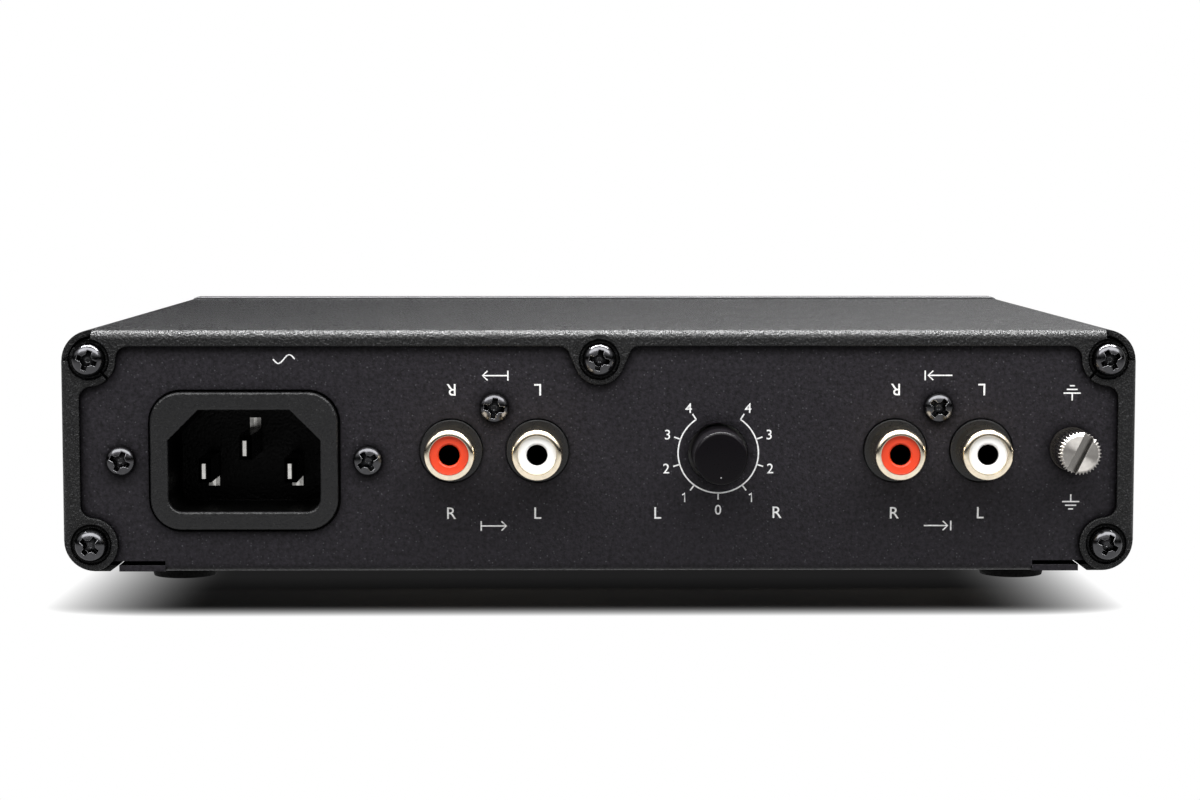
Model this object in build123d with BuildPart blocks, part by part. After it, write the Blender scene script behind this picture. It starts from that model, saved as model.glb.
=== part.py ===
"""Phono preamplifier: folded steel case, mains inlet, phono jacks, balance knob and knurled earth screw.

Millimetres. Seen from the connector side, +X runs to the right and +Z up; +Y runs from the connectors to
the front fascia. The origin is on the surface that the feet stand on, under the middle of the whole thing.
"""

import os
from math import asin, cos, degrees, hypot, radians, sin

from build123d import *

os.makedirs("parts", exist_ok=True)

# ---------------------------------------------------------------- case sizes
body_width = 174.0
body_height = 39.3
body_depth = 122.0
corner_radius = 5.0
cover_sheet = 1.0
tray_sheet = 1.0
cover_gap = 0.3  # between the cover's inside and the fascia's raised back
wall_gap = 0.1  # between a wall's edge and the inside of the cover's folds
same_place = 0.01  # coordinates this close count as the same

# Rear edge of the cover: folded lips with a lug at each screw
bend_radius = 1.4
top_lip = 2.6
side_lip = 3.0
lug_radius = 4.35
lug_blend = 2.0
centre_lug_radius = 4.1
centre_lug_flare = 5.4  # half-width where the centre lug leaves the lip
centre_lug_flank = 25.0  # degrees below level where its flanks meet its round end
centre_lug_blend = 1.6
lug_inset = 0.35  # from the case's outer surface to the lower lugs' rims
mitre_gap = 0.5
screw_inset = 4.6
upper_screw_inset = 4.75  # below the case's top
lower_screw_inset = 4.5
recess_radius = 3.15
recess_depth = 0.4
lip_edge = 0.2  # rounding of the lips' outer edges and of the screws' recesses
curl_width = 8.8  # how far the cover's edges reach under the case
curl_bevel = 1.35

# Tray: bottom plate with a wall folded up at each end
curl_gap = 0.15  # between the plate and the cover's edges beside it
relief_length = 7.5
relief_height = 0.7
tray_bend = 1.3
collar_radius = 2.4
collar_length = 1.5

# Fascia
fascia_thickness = 5.0
fascia_edge = 0.7
fascia_rim = 0.4  # how far its long edges stand above and below the case
fascia_rim_inset = 3.4  # from the case's sides to the ends of that rim
fascia_rim_corner = 1.6
fascia_rim_edge = 0.25
plug_depth = 2.0  # raised back of the fascia, which enters the cover
fascia_screw_inset_x = 11.0
fascia_screw_inset_z = 8.0

# Feet
foot_height = 3.0
foot_radius = 6.0
foot_taper = 0.8
foot_inset_x = 17.0
foot_inset_y = 18.0

# ---------------------------------------------------------------- fasteners
thread_radius = 1.45
thread_hole = 1.5
thread_runout = 1.5  # of a blind threaded hole, beyond its screw
clearance_hole = 1.7
flange_radius = 2.75
flange_height = 0.5
cover_head_radius = 2.42
cover_head_height = 1.9
cover_screw_length = 6.0
pan_radius = 2.4
pan_height = 1.8
dome_share = 0.55  # how much of a head's height is domed
fascia_screw_length = 5.5
board_screw_length = 3.5
nut_width = 5.5
nut_height = 2.4

# ---------------------------------------------------------------- mains inlet
inlet_inset = 29.5  # from the case's side to the inlet's axis
inlet_height = 18.1  # axis above the case's underside
inlet_screw_pitch = 40.0
inlet_screw_length = 8.0
bezel_width = 30.4
bezel_height = 22.4
bezel_radius = 5.0
bezel_proud = 1.0
bezel_edge = 0.45
panel_gap = 0.35
inlet_flange = 3.0
inlet_flange_width = 50.0
inlet_flange_height = 25.0
cavity_width = 24.6
cavity_height = 16.5
cavity_depth = 16.0
cavity_chamfer = 4.9
cavity_fillet = 2.3
cavity_edge = 0.4
inlet_wall = 1.6
inlet_back = 2.0
blade_width = 2.0
blade_height = 4.0
blade_tip = 1.4
blade_tip_width = 0.95
blade_tip_height = 2.45
pole_pitch = 7.0
pole_rise = 2.0  # earth above and the others below the inlet's axis
earth_recess = 1.0
pole_recess = 3.5
stub_size = 1.85
stub_rise = 2.8
tail_thickness = 1.0

# ---------------------------------------------------------------- phono jacks
output_spacing = 40.5  # from the inlet's axis to the middle of the output pair
input_spacing = 21.7  # from the middle of the input pair to the earth terminal
jack_height = 19.7
jack_pitch = 14.0
jack_hole = 5.25
jack_collar = 5.0
jack_collar_proud = 0.3
jack_reach = 8.2  # shell's end, beyond the rear wall
shell_radius = 4.15
shell_root_radius = 3.8  # from the block's collar on
shell_wall = 1.0
shell_edge = 0.4
shell_depth = 9.0
insulator_recess = 0.5
insulator_depth = 8.0
socket_radius = 1.7
contact_radius = 2.3
contact_reach = 1.0  # contact's mouth, behind the rear wall's outer face
contact_back = 1.5
contact_tail = 0.6
block_width = 28.0
block_depth = 11.0
block_shoulder = 6.0  # top of the wide part, above the jacks' axis
block_boss_width = 9.0
block_blend = 2.2
jack_screw_rise = 7.0
jack_boss_rise = 4.5
jack_screw_length = 8.0

# ---------------------------------------------------------------- balance control
balance_x = 19.3
balance_height = 19.3
knob_radius = 4.35
knob_reach = 9.0
knob_edge = 0.5
knob_inner = 0.7  # how far the knob reaches in past the wall's inner face
knob_hole = 4.85
knob_cap = 4.0  # solid end of the knob, in front of the shaft
knob_dot = 0.35
knob_dot_rise = 3.1
shaft_radius = 3.0
shaft_clearance = 0.05
bush_radius = 3.9
bush_length = 4.0
bush_gap = 0.3
pot_radius = 8.0
pot_depth = 7.5
pot_foot_width = 12.0
pot_foot_thickness = 2.0

# ---------------------------------------------------------------- earth terminal
ground_inset = 10.3  # from the case's side to the earth terminal
ground_height = 19.9
ground_head_radius = 3.45
ground_head_length = 7.4
ground_head_edge = 0.7
ground_flutes = 28
ground_flute_radius = 0.3
ground_slot_width = 1.7
ground_slot_depth = 1.6
ground_slot_angle = 63.0
ground_thread = 1.95
ground_thread_gap = 0.07
ground_screw_length = 11.0
ground_washer_radius = 3.55
ground_washer_thickness = 0.6
ground_seat_gap = 0.05
ground_hole = 2.2
ground_nut_radius = 3.2
ground_nut_length = 3.0
tag_thickness = 0.5
tag_radius = 4.8
tag_width = 4.0
tag_foot = 5.0

# ---------------------------------------------------------------- front controls
button_inset = 17.0  # from the case's side to the button's axis
button_height = 19.5
button_radius = 4.5
button_reach = 1.5
button_travel = 1.0
button_gap = 0.3
button_edge = 0.6
button_face = 3.0  # fascia left in front of the button's flange
button_flange_radius = 5.7
button_flange = 1.0
button_stop_gap = 0.05
stem_radius = 1.75
stem_gap = 0.9
switch_size = 7.0
switch_depth = 5.5
switch_setback = 3.5  # behind the front wall
plunger_radius = 1.5
plunger_gap = 0.1
plunger_depth = 3.0
light_spacing = 9.0
light_radius = 1.0
light_gap = 0.05
led_radius = 1.5
led_length = 4.0
front_board_width = 26.0
front_board_height = 21.0

# ---------------------------------------------------------------- main board
board_thickness = 1.6
standoff_height = 4.5
standoff_radius = 2.75
board_side_gap = 8.0
board_rear_gap = 1.2
board_front_gap = 4.0
board_notch_gap = 0.5
board_screw_inset_x = 7.0
board_screw_rear = 24.0  # from the board's rear edge to the first row of screws
board_screw_front = 14.0
solder_gap = 0.4

# Power supply: places are from the inlet's axis and from the rear of its pins
fuse_y = 7.0
fuse_length = 20.0
fuse_radius = 2.6
fuse_cap = 5.0
fuse_glass_step = 0.2
clip_sheet = 0.5
clip_length = 4.0
clip_height = 6.5
clip_gap = 0.1
suppressor_place = (-8.5, 19.0)
suppressor_size = (18.0, 8.0, 14.0)
choke_place = (14.0, 21.0)
choke_size = (20.0, 17.0)
choke_base = 2.0
choke_core = 5.0
choke_seat = 0.4  # how far the coils sink into the base
coil_radius = 4.6
coil_length = 9.5
bridge_place = (-10.5, 32.0)
bridge_size = (15.0, 3.5, 11.0)
bridge_corner = 2.5
bulk_place = (-8.0, 46.0)
bulk_radius = 6.5
bulk_height = 21.0
can_edge = 0.6
transformer_place = (11.5, 53.0)
transformer_base = (24.0, 22.0, 3.0)
transformer_core = (25.0, 8.0, 18.0)
transformer_winding = (15.0, 19.0, 14.0)
transformer_leg = 4.0

# Low-voltage side: places are from the middle of the output or input jacks and from the wall's inner face
regulator_place = (-2.0, 46.0)
regulator_pitch = 14.0
regulator_size = (10.0, 4.4, 15.0)
heatsink_size = (26.0, 12.0, 17.0)
heatsink_sheet = 1.5
smoothing_place = (-5.0, 70.0)
smoothing_pitch = 11.0
smoothing_radius = 4.0
smoothing_height = 12.0
relay_place = (-2.0, 20.0)
relay_size = (15.0, 7.5, 10.0)
film_place = (-5.0, 22.0)
film_pitch = (10.0, 6.0)
film_size = (7.2, 3.6, 7.5)
chip_place = (-10.0, 43.0)
chip_pitch = (18.0, 15.0)
chip_size = (6.4, 9.8, 3.5)
signal_can_place = (-5.0, 66.0)
signal_can_pitch = 10.0
signal_can_radius = 2.5
signal_can_height = 7.0
header_size = (12.7, 2.5, 9.0)

# ---------------------------------------------------------------- levels and depths worked out from these
base_z = foot_height
plate_z = base_z + tray_sheet
top_z = base_z + body_height
mid_z = base_z + body_height / 2
half_width = body_width / 2
inlet_x = inlet_inset - half_width
output_x = inlet_x + output_spacing
ground_x = half_width - ground_inset
input_x = ground_x - input_spacing
button_x = half_width - button_inset
board_z = plate_z + standoff_height
board_top = board_z + board_thickness

ground_reach = ground_seat_gap + ground_washer_thickness + ground_head_length
rear_reach = max(knob_reach, jack_reach, ground_reach)
overall_length = rear_reach - cover_sheet + body_depth + fascia_thickness + button_reach
lip_y = -overall_length / 2 + rear_reach - cover_sheet
wall_y = lip_y + cover_sheet
wall_in_y = wall_y + tray_sheet
cover_front_y = lip_y + body_depth
fascia_front_y = cover_front_y + fascia_thickness
plug_y = cover_front_y - plug_depth
front_wall_in_y = plug_y - tray_sheet
tray_length = plug_y - wall_y
tray_mid_y = (plug_y + wall_y) / 2

inlet_z = base_z + inlet_height
jack_z = base_z + jack_height
balance_z = base_z + balance_height
ground_z = base_z + ground_height
button_z = base_z + button_height
jack_screw_z = jack_z + jack_screw_rise

corner_screws = [
    (side * (half_width - screw_inset), z)
    for side in (-1, 1)
    for z in (base_z + lower_screw_inset, top_z - upper_screw_inset)
]
centre_screw = (0, top_z - upper_screw_inset)
cover_screw_points = [*corner_screws, centre_screw]
inlet_screw_points = [(inlet_x + side * inlet_screw_pitch / 2, inlet_z) for side in (-1, 1)]
fascia_screw_points = [
    (side * (half_width - fascia_screw_inset_x), z)
    for side in (-1, 1)
    for z in (base_z + fascia_screw_inset_z, top_z - fascia_screw_inset_z)
]
jacks = {
    "output_right": output_x - jack_pitch / 2,
    "output_left": output_x + jack_pitch / 2,
    "input_right": input_x - jack_pitch / 2,
    "input_left": input_x + jack_pitch / 2,
}
button_axis = [(button_x, button_z)]
light_x = button_x - light_spacing
light_axis = [(light_x, button_z)]

board_half = half_width - board_side_gap
board_rear_y = wall_in_y + board_rear_gap
board_front_y = front_wall_in_y - board_front_gap
board_screw_points = [
    (x, y)
    for x in (board_screw_inset_x - board_half, 0, board_half - board_screw_inset_x)
    for y in (board_rear_y + board_screw_rear, board_front_y - board_screw_front)
]


# ---------------------------------------------------------------- helpers
def rear_plane(y):
    """Plane across the case at depth y as seen from behind: X to the right, Z up, normal to the rear."""
    return Plane(origin=(0, y, 0), x_dir=(1, 0, 0), z_dir=(0, -1, 0))


def lengthwise_plane(x, y, z):
    """Plane through (x, y, z) whose first direction is +Y and second +Z, for profiles turned about Y."""
    return Plane(origin=(x, y, z), x_dir=(0, 1, 0), z_dir=(1, 0, 0))


def case_outline(inset, mode=Mode.ADD):
    """Rounded section of the case, drawn at a depth of inset inside its outer surface."""
    with Locations((0, mid_z)):
        RectangleRounded(body_width - 2 * inset, body_height - 2 * inset, corner_radius - inset, mode=mode)


def bar(points, radius, rear, front, mode=Mode.ADD):
    """Round bars along Y at the given (x, z) points, between two depths."""
    with BuildSketch(rear_plane(front)) as discs:
        with Locations(*points):
            Circle(radius)
    extrude(discs.sketch, amount=front - rear, mode=mode)


def block(x, z, width, height, rear, front, mode=Mode.ADD):
    """Upright block centred on (x, z), between two depths."""
    with BuildSketch(rear_plane(front)) as face:
        with Locations((x, z)):
            Rectangle(width, height)
    extrude(face.sketch, amount=front - rear, mode=mode)


def pan_screw(seat, length, head, height, flange=0.0, flange_radius=0.0):
    """Pan-head screw driven along the seat plane's first direction, bearing on its origin."""
    dome = dome_share * height
    dome_radius = (dome**2 + head**2) / (2 * dome)
    dome_angle = degrees(asin(head / dome_radius))
    with BuildSketch(seat) as half:
        with BuildLine():
            if flange:
                Polyline((0, thread_radius), (0, flange_radius), (-flange, flange_radius), (-flange, head))
            else:
                Line((0, thread_radius), (0, head))
            Line((-flange, head), (-flange - height + dome, head))
            CenterArc((-flange - height + dome_radius, 0), dome_radius, 180 - dome_angle, dome_angle)
            Polyline((-flange - height, 0), (length, 0), (length, thread_radius), (0, thread_radius))
        make_face()
    revolve(half.sketch, axis=Axis(seat.origin, seat.x_dir))


def save(piece, name):
    """Label a finished piece and write it to its own file."""
    piece.part.label = name
    export_step(piece.part, f"parts/{name}.step")


# ---------------------------------------------------------------- tray
with BuildPart() as chassis_tray:
    # Bottom and both walls as one bent strip, between the relief slots
    wall_inset = bend_radius + wall_gap
    tray_height = body_height - wall_inset
    plate_half = half_width - curl_width - curl_gap
    bend_half = plate_half - relief_length
    with BuildSketch(Plane.YZ):
        with Locations((tray_mid_y, base_z)):
            Rectangle(tray_length, tray_height, align=(Align.CENTER, Align.MIN))
        fillet(vertices().group_by(Axis.Y)[0], tray_bend)
        with Locations((tray_mid_y, plate_z)):
            Rectangle(
                tray_length - 2 * tray_sheet, tray_height, align=(Align.CENTER, Align.MIN), mode=Mode.SUBTRACT
            )
    extrude(amount=bend_half, both=True)
    # The plate carries on flat beyond the slots
    with BuildSketch(Plane.XY.offset(base_z)):
        with Locations(*[(side * (bend_half + relief_length / 2), tray_mid_y) for side in (-1, 1)]):
            Rectangle(relief_length, tray_length)
    extrude(amount=tray_sheet)
    # Each wall widens to the cover's sides above the slots
    for inner_y in (wall_in_y, plug_y):
        with BuildSketch(rear_plane(inner_y)):
            case_outline(wall_inset)
            with Locations((0, plate_z + relief_height)):
                Rectangle(body_width, body_height, align=(Align.CENTER, Align.MAX), mode=Mode.SUBTRACT)
        extrude(amount=tray_sheet)
    # Drawn collars, threaded for the cover's screws
    bar(cover_screw_points, collar_radius, wall_in_y, wall_in_y + collar_length)
    bar(cover_screw_points, thread_hole, wall_y, wall_in_y + collar_length, mode=Mode.SUBTRACT)
    # Openings in the rear wall
    with BuildSketch(rear_plane(wall_in_y)):
        with Locations((inlet_x, inlet_z)):
            RectangleRounded(
                bezel_width + 2 * panel_gap, bezel_height + 2 * panel_gap, bezel_radius + panel_gap
            )
        with Locations(*[(x, jack_z) for x in jacks.values()]):
            Circle(jack_hole)
        with Locations((balance_x, balance_z)):
            Circle(knob_hole)
        with Locations((ground_x, ground_z)):
            Circle(ground_hole)
        with Locations(*inlet_screw_points, (output_x, jack_screw_z), (input_x, jack_screw_z)):
            Circle(clearance_hole)
    extrude(amount=tray_sheet, mode=Mode.SUBTRACT)
    # Openings in the front wall
    with BuildSketch(rear_plane(plug_y)):
        with Locations((button_x, button_z)):
            Circle(stem_radius + stem_gap)
        with Locations((light_x, button_z)):
            Circle(light_radius + light_gap)
        with Locations(*fascia_screw_points):
            Circle(clearance_hole)
    extrude(amount=tray_sheet, mode=Mode.SUBTRACT)
save(chassis_tray, "chassis_tray")


# ---------------------------------------------------------------- cover
def borders_opening(edge):
    """Whether an edge of the lips' outer faces runs round the opening between them, clear of the recesses."""
    middle = edge.center()
    ends = [(vertex.X - x, vertex.Z - z) for vertex in edge.vertices() for x, z in cover_screw_points]
    clear = min(hypot(*offset) for offset in ends) > recess_radius + 2 * lip_edge
    return clear and abs(middle.X) < lip_edge_x + same_place and plate_z < middle.Z < lip_edge_z + same_place


with BuildPart() as top_cover:
    straight_x = half_width - corner_radius
    straight_z = body_height / 2 - corner_radius
    fold_y = lip_y + bend_radius
    lip_edge_x = half_width - side_lip
    lip_edge_z = top_z - top_lip
    lower_screws = [point for point in corner_screws if point[1] < mid_z]
    upper_screws = [point for point in corner_screws if point[1] > mid_z]

    # Wrap-around shell, open underneath between its bevelled edges
    with BuildSketch(rear_plane(cover_front_y)):
        case_outline(0)
        case_outline(cover_sheet, mode=Mode.SUBTRACT)
        with BuildLine():
            open_half = half_width - curl_width
            Polyline(
                (-open_half - curl_bevel, base_z),
                (-open_half, plate_z),
                (-open_half, mid_z),
                (open_half, mid_z),
                (open_half, plate_z),
                (open_half + curl_bevel, base_z),
                close=True,
            )
        make_face(mode=Mode.SUBTRACT)
    extrude(amount=cover_front_y - fold_y)

    # Folds along the straight runs of the top and the sides
    with BuildSketch(Plane.YZ):
        with Locations((fold_y, top_z - bend_radius)):
            Circle(bend_radius)
            Circle(bend_radius - cover_sheet, mode=Mode.SUBTRACT)
            Rectangle(bend_radius, bend_radius, align=(Align.MAX, Align.MIN), mode=Mode.INTERSECT)
    extrude(amount=straight_x, both=True)
    for side, outward in ((-1, Align.MAX), (1, Align.MIN)):
        with BuildSketch(Plane.XY.offset(mid_z)):
            with Locations((side * (half_width - bend_radius), fold_y)):
                Circle(bend_radius)
                Circle(bend_radius - cover_sheet, mode=Mode.SUBTRACT)
                Rectangle(bend_radius, bend_radius, align=(outward, Align.MAX), mode=Mode.INTERSECT)
        extrude(amount=straight_z, both=True)

    # Lips with their lugs: the lower lugs nearly fill the curled corners
    with BuildSketch(rear_plane(wall_y)):
        case_outline(bend_radius)
        with Locations((0, lip_edge_z)):
            Rectangle(2 * lip_edge_x, body_height, align=(Align.CENTER, Align.MAX), mode=Mode.SUBTRACT)
        with Locations(*corner_screws):
            Circle(lug_radius)
        case_outline(bend_radius, mode=Mode.INTERSECT)
        with BuildSketch(mode=Mode.ADD):
            with Locations(*lower_screws):
                Circle(lug_radius)
            case_outline(lug_inset, mode=Mode.INTERSECT)
        fillet(
            vertices().filter_by(
                lambda corner: abs(corner.Y - lip_edge_z) < same_place
                or abs(abs(corner.X) - lip_edge_x) < same_place
            ),
            lug_blend,
        )
        # Centre lug: a round end with flanks that flare into the lip
        shoulder_x = centre_lug_radius * cos(radians(centre_lug_flank))
        shoulder_z = centre_screw[1] - centre_lug_radius * sin(radians(centre_lug_flank))
        with BuildLine():
            Polyline(
                (-shoulder_x, shoulder_z),
                (-centre_lug_flare, lip_edge_z),
                (centre_lug_flare, lip_edge_z),
                (shoulder_x, shoulder_z),
                close=True,
            )
        make_face()
        fillet(
            vertices().filter_by(lambda corner: abs(abs(corner.X) - centre_lug_flare) < same_place),
            centre_lug_blend,
        )
        with Locations(centre_screw):
            Circle(centre_lug_radius)
        # Slits right across the upper lugs, where the top and side lips meet
        slit_length = 3 * lug_radius
        with Locations(*[Location((x, z), 45 if x > 0 else -45) for x, z in upper_screws]):
            Rectangle(slit_length, mitre_gap, mode=Mode.SUBTRACT)
    extrude(amount=cover_sheet)
    bar(cover_screw_points, recess_radius, lip_y, lip_y + recess_depth, mode=Mode.SUBTRACT)
    with BuildSketch(rear_plane(lip_y + lip_edge)):
        with Locations(*cover_screw_points):
            Circle(recess_radius)
    extrude(amount=lip_edge, taper=-45, mode=Mode.SUBTRACT)
    bar(cover_screw_points, clearance_hole, lip_y, wall_y, mode=Mode.SUBTRACT)
    fillet(edges().group_by(Axis.Y)[0].filter_by(borders_opening), lip_edge)
save(top_cover, "top_cover")


# ---------------------------------------------------------------- fascia
with BuildPart() as front_fascia:
    # Plate with the case's own section and a bevelled front
    with BuildSketch(rear_plane(fascia_front_y)):
        case_outline(0)
    extrude(amount=fascia_thickness)
    chamfer(edges().group_by(Axis.Y)[-1], fascia_edge)
    # Low rim along its top and bottom, behind the bevel
    with BuildSketch(rear_plane(fascia_front_y - fascia_edge)):
        with Locations((0, mid_z)):
            rim_width = body_width - 2 * fascia_rim_inset
            RectangleRounded(rim_width, body_height + 2 * fascia_rim, fascia_rim_corner)
    extrude(amount=fascia_thickness - fascia_edge)
    rim_edges = edges().filter_by(Axis.X).filter_by(lambda edge: edge.length > body_height)
    fillet([rim_edges.group_by(Axis.Z)[end].sort_by(Axis.Y)[0] for end in (0, -1)], fascia_rim_edge)
    with BuildSketch(rear_plane(cover_front_y)):
        case_outline(cover_sheet + cover_gap)
    extrude(amount=plug_depth)
    # Stepped hole for the button, which its flange enters from behind
    flange_pocket_y = fascia_front_y - button_face
    pocket_radius = button_flange_radius + button_gap
    bar(button_axis, button_radius + button_gap, plug_y, fascia_front_y, mode=Mode.SUBTRACT)
    bar(button_axis, pocket_radius, plug_y, flange_pocket_y, mode=Mode.SUBTRACT)
    bar(light_axis, light_radius + light_gap, plug_y, fascia_front_y, mode=Mode.SUBTRACT)
    screw_end_y = front_wall_in_y + fascia_screw_length
    bar(fascia_screw_points, thread_hole, plug_y, screw_end_y + thread_runout, mode=Mode.SUBTRACT)
save(front_fascia, "front_fascia")

# ---------------------------------------------------------------- feet
foot_x = half_width - foot_inset_x
feet = {
    "foot_rear_left": (-foot_x, wall_y + foot_inset_y),
    "foot_rear_right": (foot_x, wall_y + foot_inset_y),
    "foot_front_left": (-foot_x, plug_y - foot_inset_y),
    "foot_front_right": (foot_x, plug_y - foot_inset_y),
}
for name, (x, y) in feet.items():
    with BuildPart() as foot:
        with Locations((x, y, 0)):
            tip_radius = foot_radius - foot_taper
            Cone(tip_radius, foot_radius, foot_height, align=(Align.CENTER, Align.CENTER, Align.MIN))
    save(foot, name)

# ---------------------------------------------------------------- case screws
with BuildPart() as cover_screws:
    for x, z in cover_screw_points:
        seat = lengthwise_plane(x, lip_y + recess_depth, z)
        pan_screw(
            seat, cover_screw_length, cover_head_radius, cover_head_height, flange_height, flange_radius
        )
save(cover_screws, "cover_screws")

with BuildPart() as fascia_screws:
    for x, z in fascia_screw_points:
        pan_screw(lengthwise_plane(x, front_wall_in_y, z), fascia_screw_length, pan_radius, pan_height)
save(fascia_screws, "fascia_screws")

# ---------------------------------------------------------------- mains inlet
cavity_y = wall_y - bezel_proud + cavity_depth  # floor of the cavity
inlet_back_y = cavity_y + inlet_back
poles = {
    "inlet_live_pin": (inlet_x + pole_pitch, inlet_z - pole_rise, pole_recess, -stub_rise),
    "inlet_neutral_pin": (inlet_x - pole_pitch, inlet_z - pole_rise, pole_recess, -stub_rise),
    "inlet_earth_pin": (inlet_x, inlet_z + pole_rise, earth_recess, stub_rise),
}

with BuildPart() as mains_inlet:
    # Flange behind the wall
    with BuildSketch(rear_plane(wall_in_y + inlet_flange)):
        with Locations((inlet_x, inlet_z)):
            RectangleRounded(inlet_flange_width, inlet_flange_height, bezel_radius)
    extrude(amount=inlet_flange)
    # Bezel, which stands through the wall
    with BuildSketch(rear_plane(wall_in_y)):
        with Locations((inlet_x, inlet_z)):
            RectangleRounded(bezel_width, bezel_height, bezel_radius)
    extrude(amount=tray_sheet + bezel_proud)
    fillet(edges().group_by(Axis.Y)[0], bezel_edge)
    # Socket body and its cavity
    socket_width = cavity_width + 2 * inlet_wall
    socket_height = cavity_height + 2 * inlet_wall
    block(inlet_x, inlet_z, socket_width, socket_height, wall_in_y, inlet_back_y)
    with BuildSketch(rear_plane(cavity_y)):
        with Locations((inlet_x, inlet_z)):
            Rectangle(cavity_width, cavity_height)
        chamfer(vertices().group_by(Axis.Y)[-1], cavity_chamfer)
        fillet(vertices().group_by(Axis.Y)[0], cavity_fillet)
    extrude(amount=cavity_depth, mode=Mode.SUBTRACT)
    mouth_edges = edges().group_by(Axis.Y)[0].filter_by(
        lambda edge: abs(edge.center().X - inlet_x) < (cavity_width + bezel_width) / 4
        and abs(edge.center().Z - inlet_z) < (cavity_height + bezel_height) / 4
    )
    fillet(mouth_edges, cavity_edge)
    # Slots that the pins stand in, and holes for the screws
    for x, z, _, rise in poles.values():
        block(x, z, blade_width, blade_height, cavity_y, inlet_back_y, mode=Mode.SUBTRACT)
        block(x, z + rise, stub_size, stub_size, cavity_y, inlet_back_y, mode=Mode.SUBTRACT)
    bar(inlet_screw_points, clearance_hole, wall_in_y, wall_in_y + inlet_flange, mode=Mode.SUBTRACT)
save(mains_inlet, "mains_inlet")

for name, (x, z, recess, rise) in poles.items():
    with BuildPart() as pin:
        tip_y = wall_y - bezel_proud + recess
        # Blade with its tapered tip
        block(x, z, blade_width, blade_height, tip_y + blade_tip, inlet_back_y + tail_thickness)
        with BuildSketch(rear_plane(tip_y + blade_tip)):
            with Locations((x, z)):
                Rectangle(blade_width, blade_height)
        with BuildSketch(rear_plane(tip_y)):
            with Locations((x, z)):
                Rectangle(blade_tip_width, blade_tip_height)
        loft()
        # Stub beside the blade, and the tail down to the board behind the socket
        block(x, z + rise, stub_size, stub_size, cavity_y, inlet_back_y)
        tail_top = max(z, z + rise) + stub_size / 2
        tail_middle = (tail_top + board_top) / 2
        block(x, tail_middle, blade_width, tail_top - board_top, inlet_back_y, inlet_back_y + tail_thickness)
    save(pin, name)

inlet_nut_y = wall_in_y + inlet_flange
with BuildPart() as inlet_screws:
    for x, z in inlet_screw_points:
        pan_screw(lengthwise_plane(x, wall_y, z), inlet_screw_length, pan_radius, pan_height)
save(inlet_screws, "inlet_screws")

with BuildPart() as inlet_nuts:
    with BuildSketch(rear_plane(inlet_nut_y + nut_height)):
        with Locations(*inlet_screw_points):
            RegularPolygon(nut_width / 2, 6, major_radius=False)
            Circle(thread_hole, mode=Mode.SUBTRACT)
    extrude(amount=nut_height)
save(inlet_nuts, "inlet_nuts")

# ---------------------------------------------------------------- phono jacks
shell_end_y = wall_y - jack_reach
collar_y = wall_y - jack_collar_proud
shell_back_y = wall_in_y + shell_depth
insulator_y = shell_end_y + insulator_recess
insulator_back_y = wall_in_y + insulator_depth
contact_y = wall_y + contact_reach
block_back_y = wall_in_y + block_depth
shell_bore = shell_radius - shell_wall

for name, centre_x in {"output_jack_body": output_x, "input_jack_body": input_x}.items():
    pair = [(centre_x + side * jack_pitch / 2, jack_z) for side in (-1, 1)]
    with BuildPart() as jack_body:
        # Twin block on the board, with a raised middle for the screw
        with BuildSketch(rear_plane(block_back_y)):
            with Locations((centre_x, board_top)):
                Rectangle(
                    block_width, jack_z + block_shoulder - board_top, align=(Align.CENTER, Align.MIN)
                )
                Rectangle(
                    block_boss_width,
                    jack_screw_z + jack_boss_rise - board_top,
                    align=(Align.CENTER, Align.MIN),
                )
            fillet(vertices().group_by(Axis.Y)[-1], block_blend)
        extrude(amount=block_depth)
        bar(pair, jack_collar, collar_y, wall_in_y)
        # Bores for the shells, with a core left for the insulators to stand on
        bar(pair, shell_root_radius, collar_y, shell_back_y, mode=Mode.SUBTRACT)
        bar(pair, contact_tail + solder_gap, shell_back_y, block_back_y, mode=Mode.SUBTRACT)
        bar([(centre_x, jack_screw_z)], thread_hole, wall_in_y, block_back_y, mode=Mode.SUBTRACT)
    save(jack_body, name)

for name, x in jacks.items():
    axis_point = [(x, jack_z)]
    with BuildPart() as shell:
        bar(axis_point, shell_radius, shell_end_y, collar_y)
        bar(axis_point, shell_root_radius, collar_y, shell_back_y)
        bar(axis_point, shell_bore, shell_end_y, shell_back_y, mode=Mode.SUBTRACT)
        chamfer(edges().group_by(Axis.Y)[0], shell_edge)
    save(shell, f"{name}_shell")

    with BuildPart() as insulator:
        bar(axis_point, shell_bore, insulator_y, insulator_back_y)
        bar(axis_point, socket_radius, insulator_y, insulator_back_y, mode=Mode.SUBTRACT)
        bar(axis_point, contact_radius, contact_y, insulator_back_y, mode=Mode.SUBTRACT)
    save(insulator, f"{name}_insulator")

with BuildPart() as jack_contacts:
    # Sprung tube behind each insulator's mouth, with a tail out of the block and down to the board
    sockets = [(x, jack_z) for x in jacks.values()]
    bar(sockets, contact_radius, contact_y, insulator_back_y)
    bar(sockets, socket_radius, contact_y, insulator_back_y - contact_back, mode=Mode.SUBTRACT)
    bar(sockets, contact_tail, insulator_back_y, block_back_y + 2 * solder_gap)
    tail_y = block_back_y + solder_gap
    tail_top = jack_z + contact_tail
    tail_middle = (tail_top + board_top) / 2
    tail_length = tail_top - board_top
    for x in jacks.values():
        block(x, tail_middle, 2 * contact_tail, tail_length, tail_y, tail_y + contact_tail)
save(jack_contacts, "jack_contacts")

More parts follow.
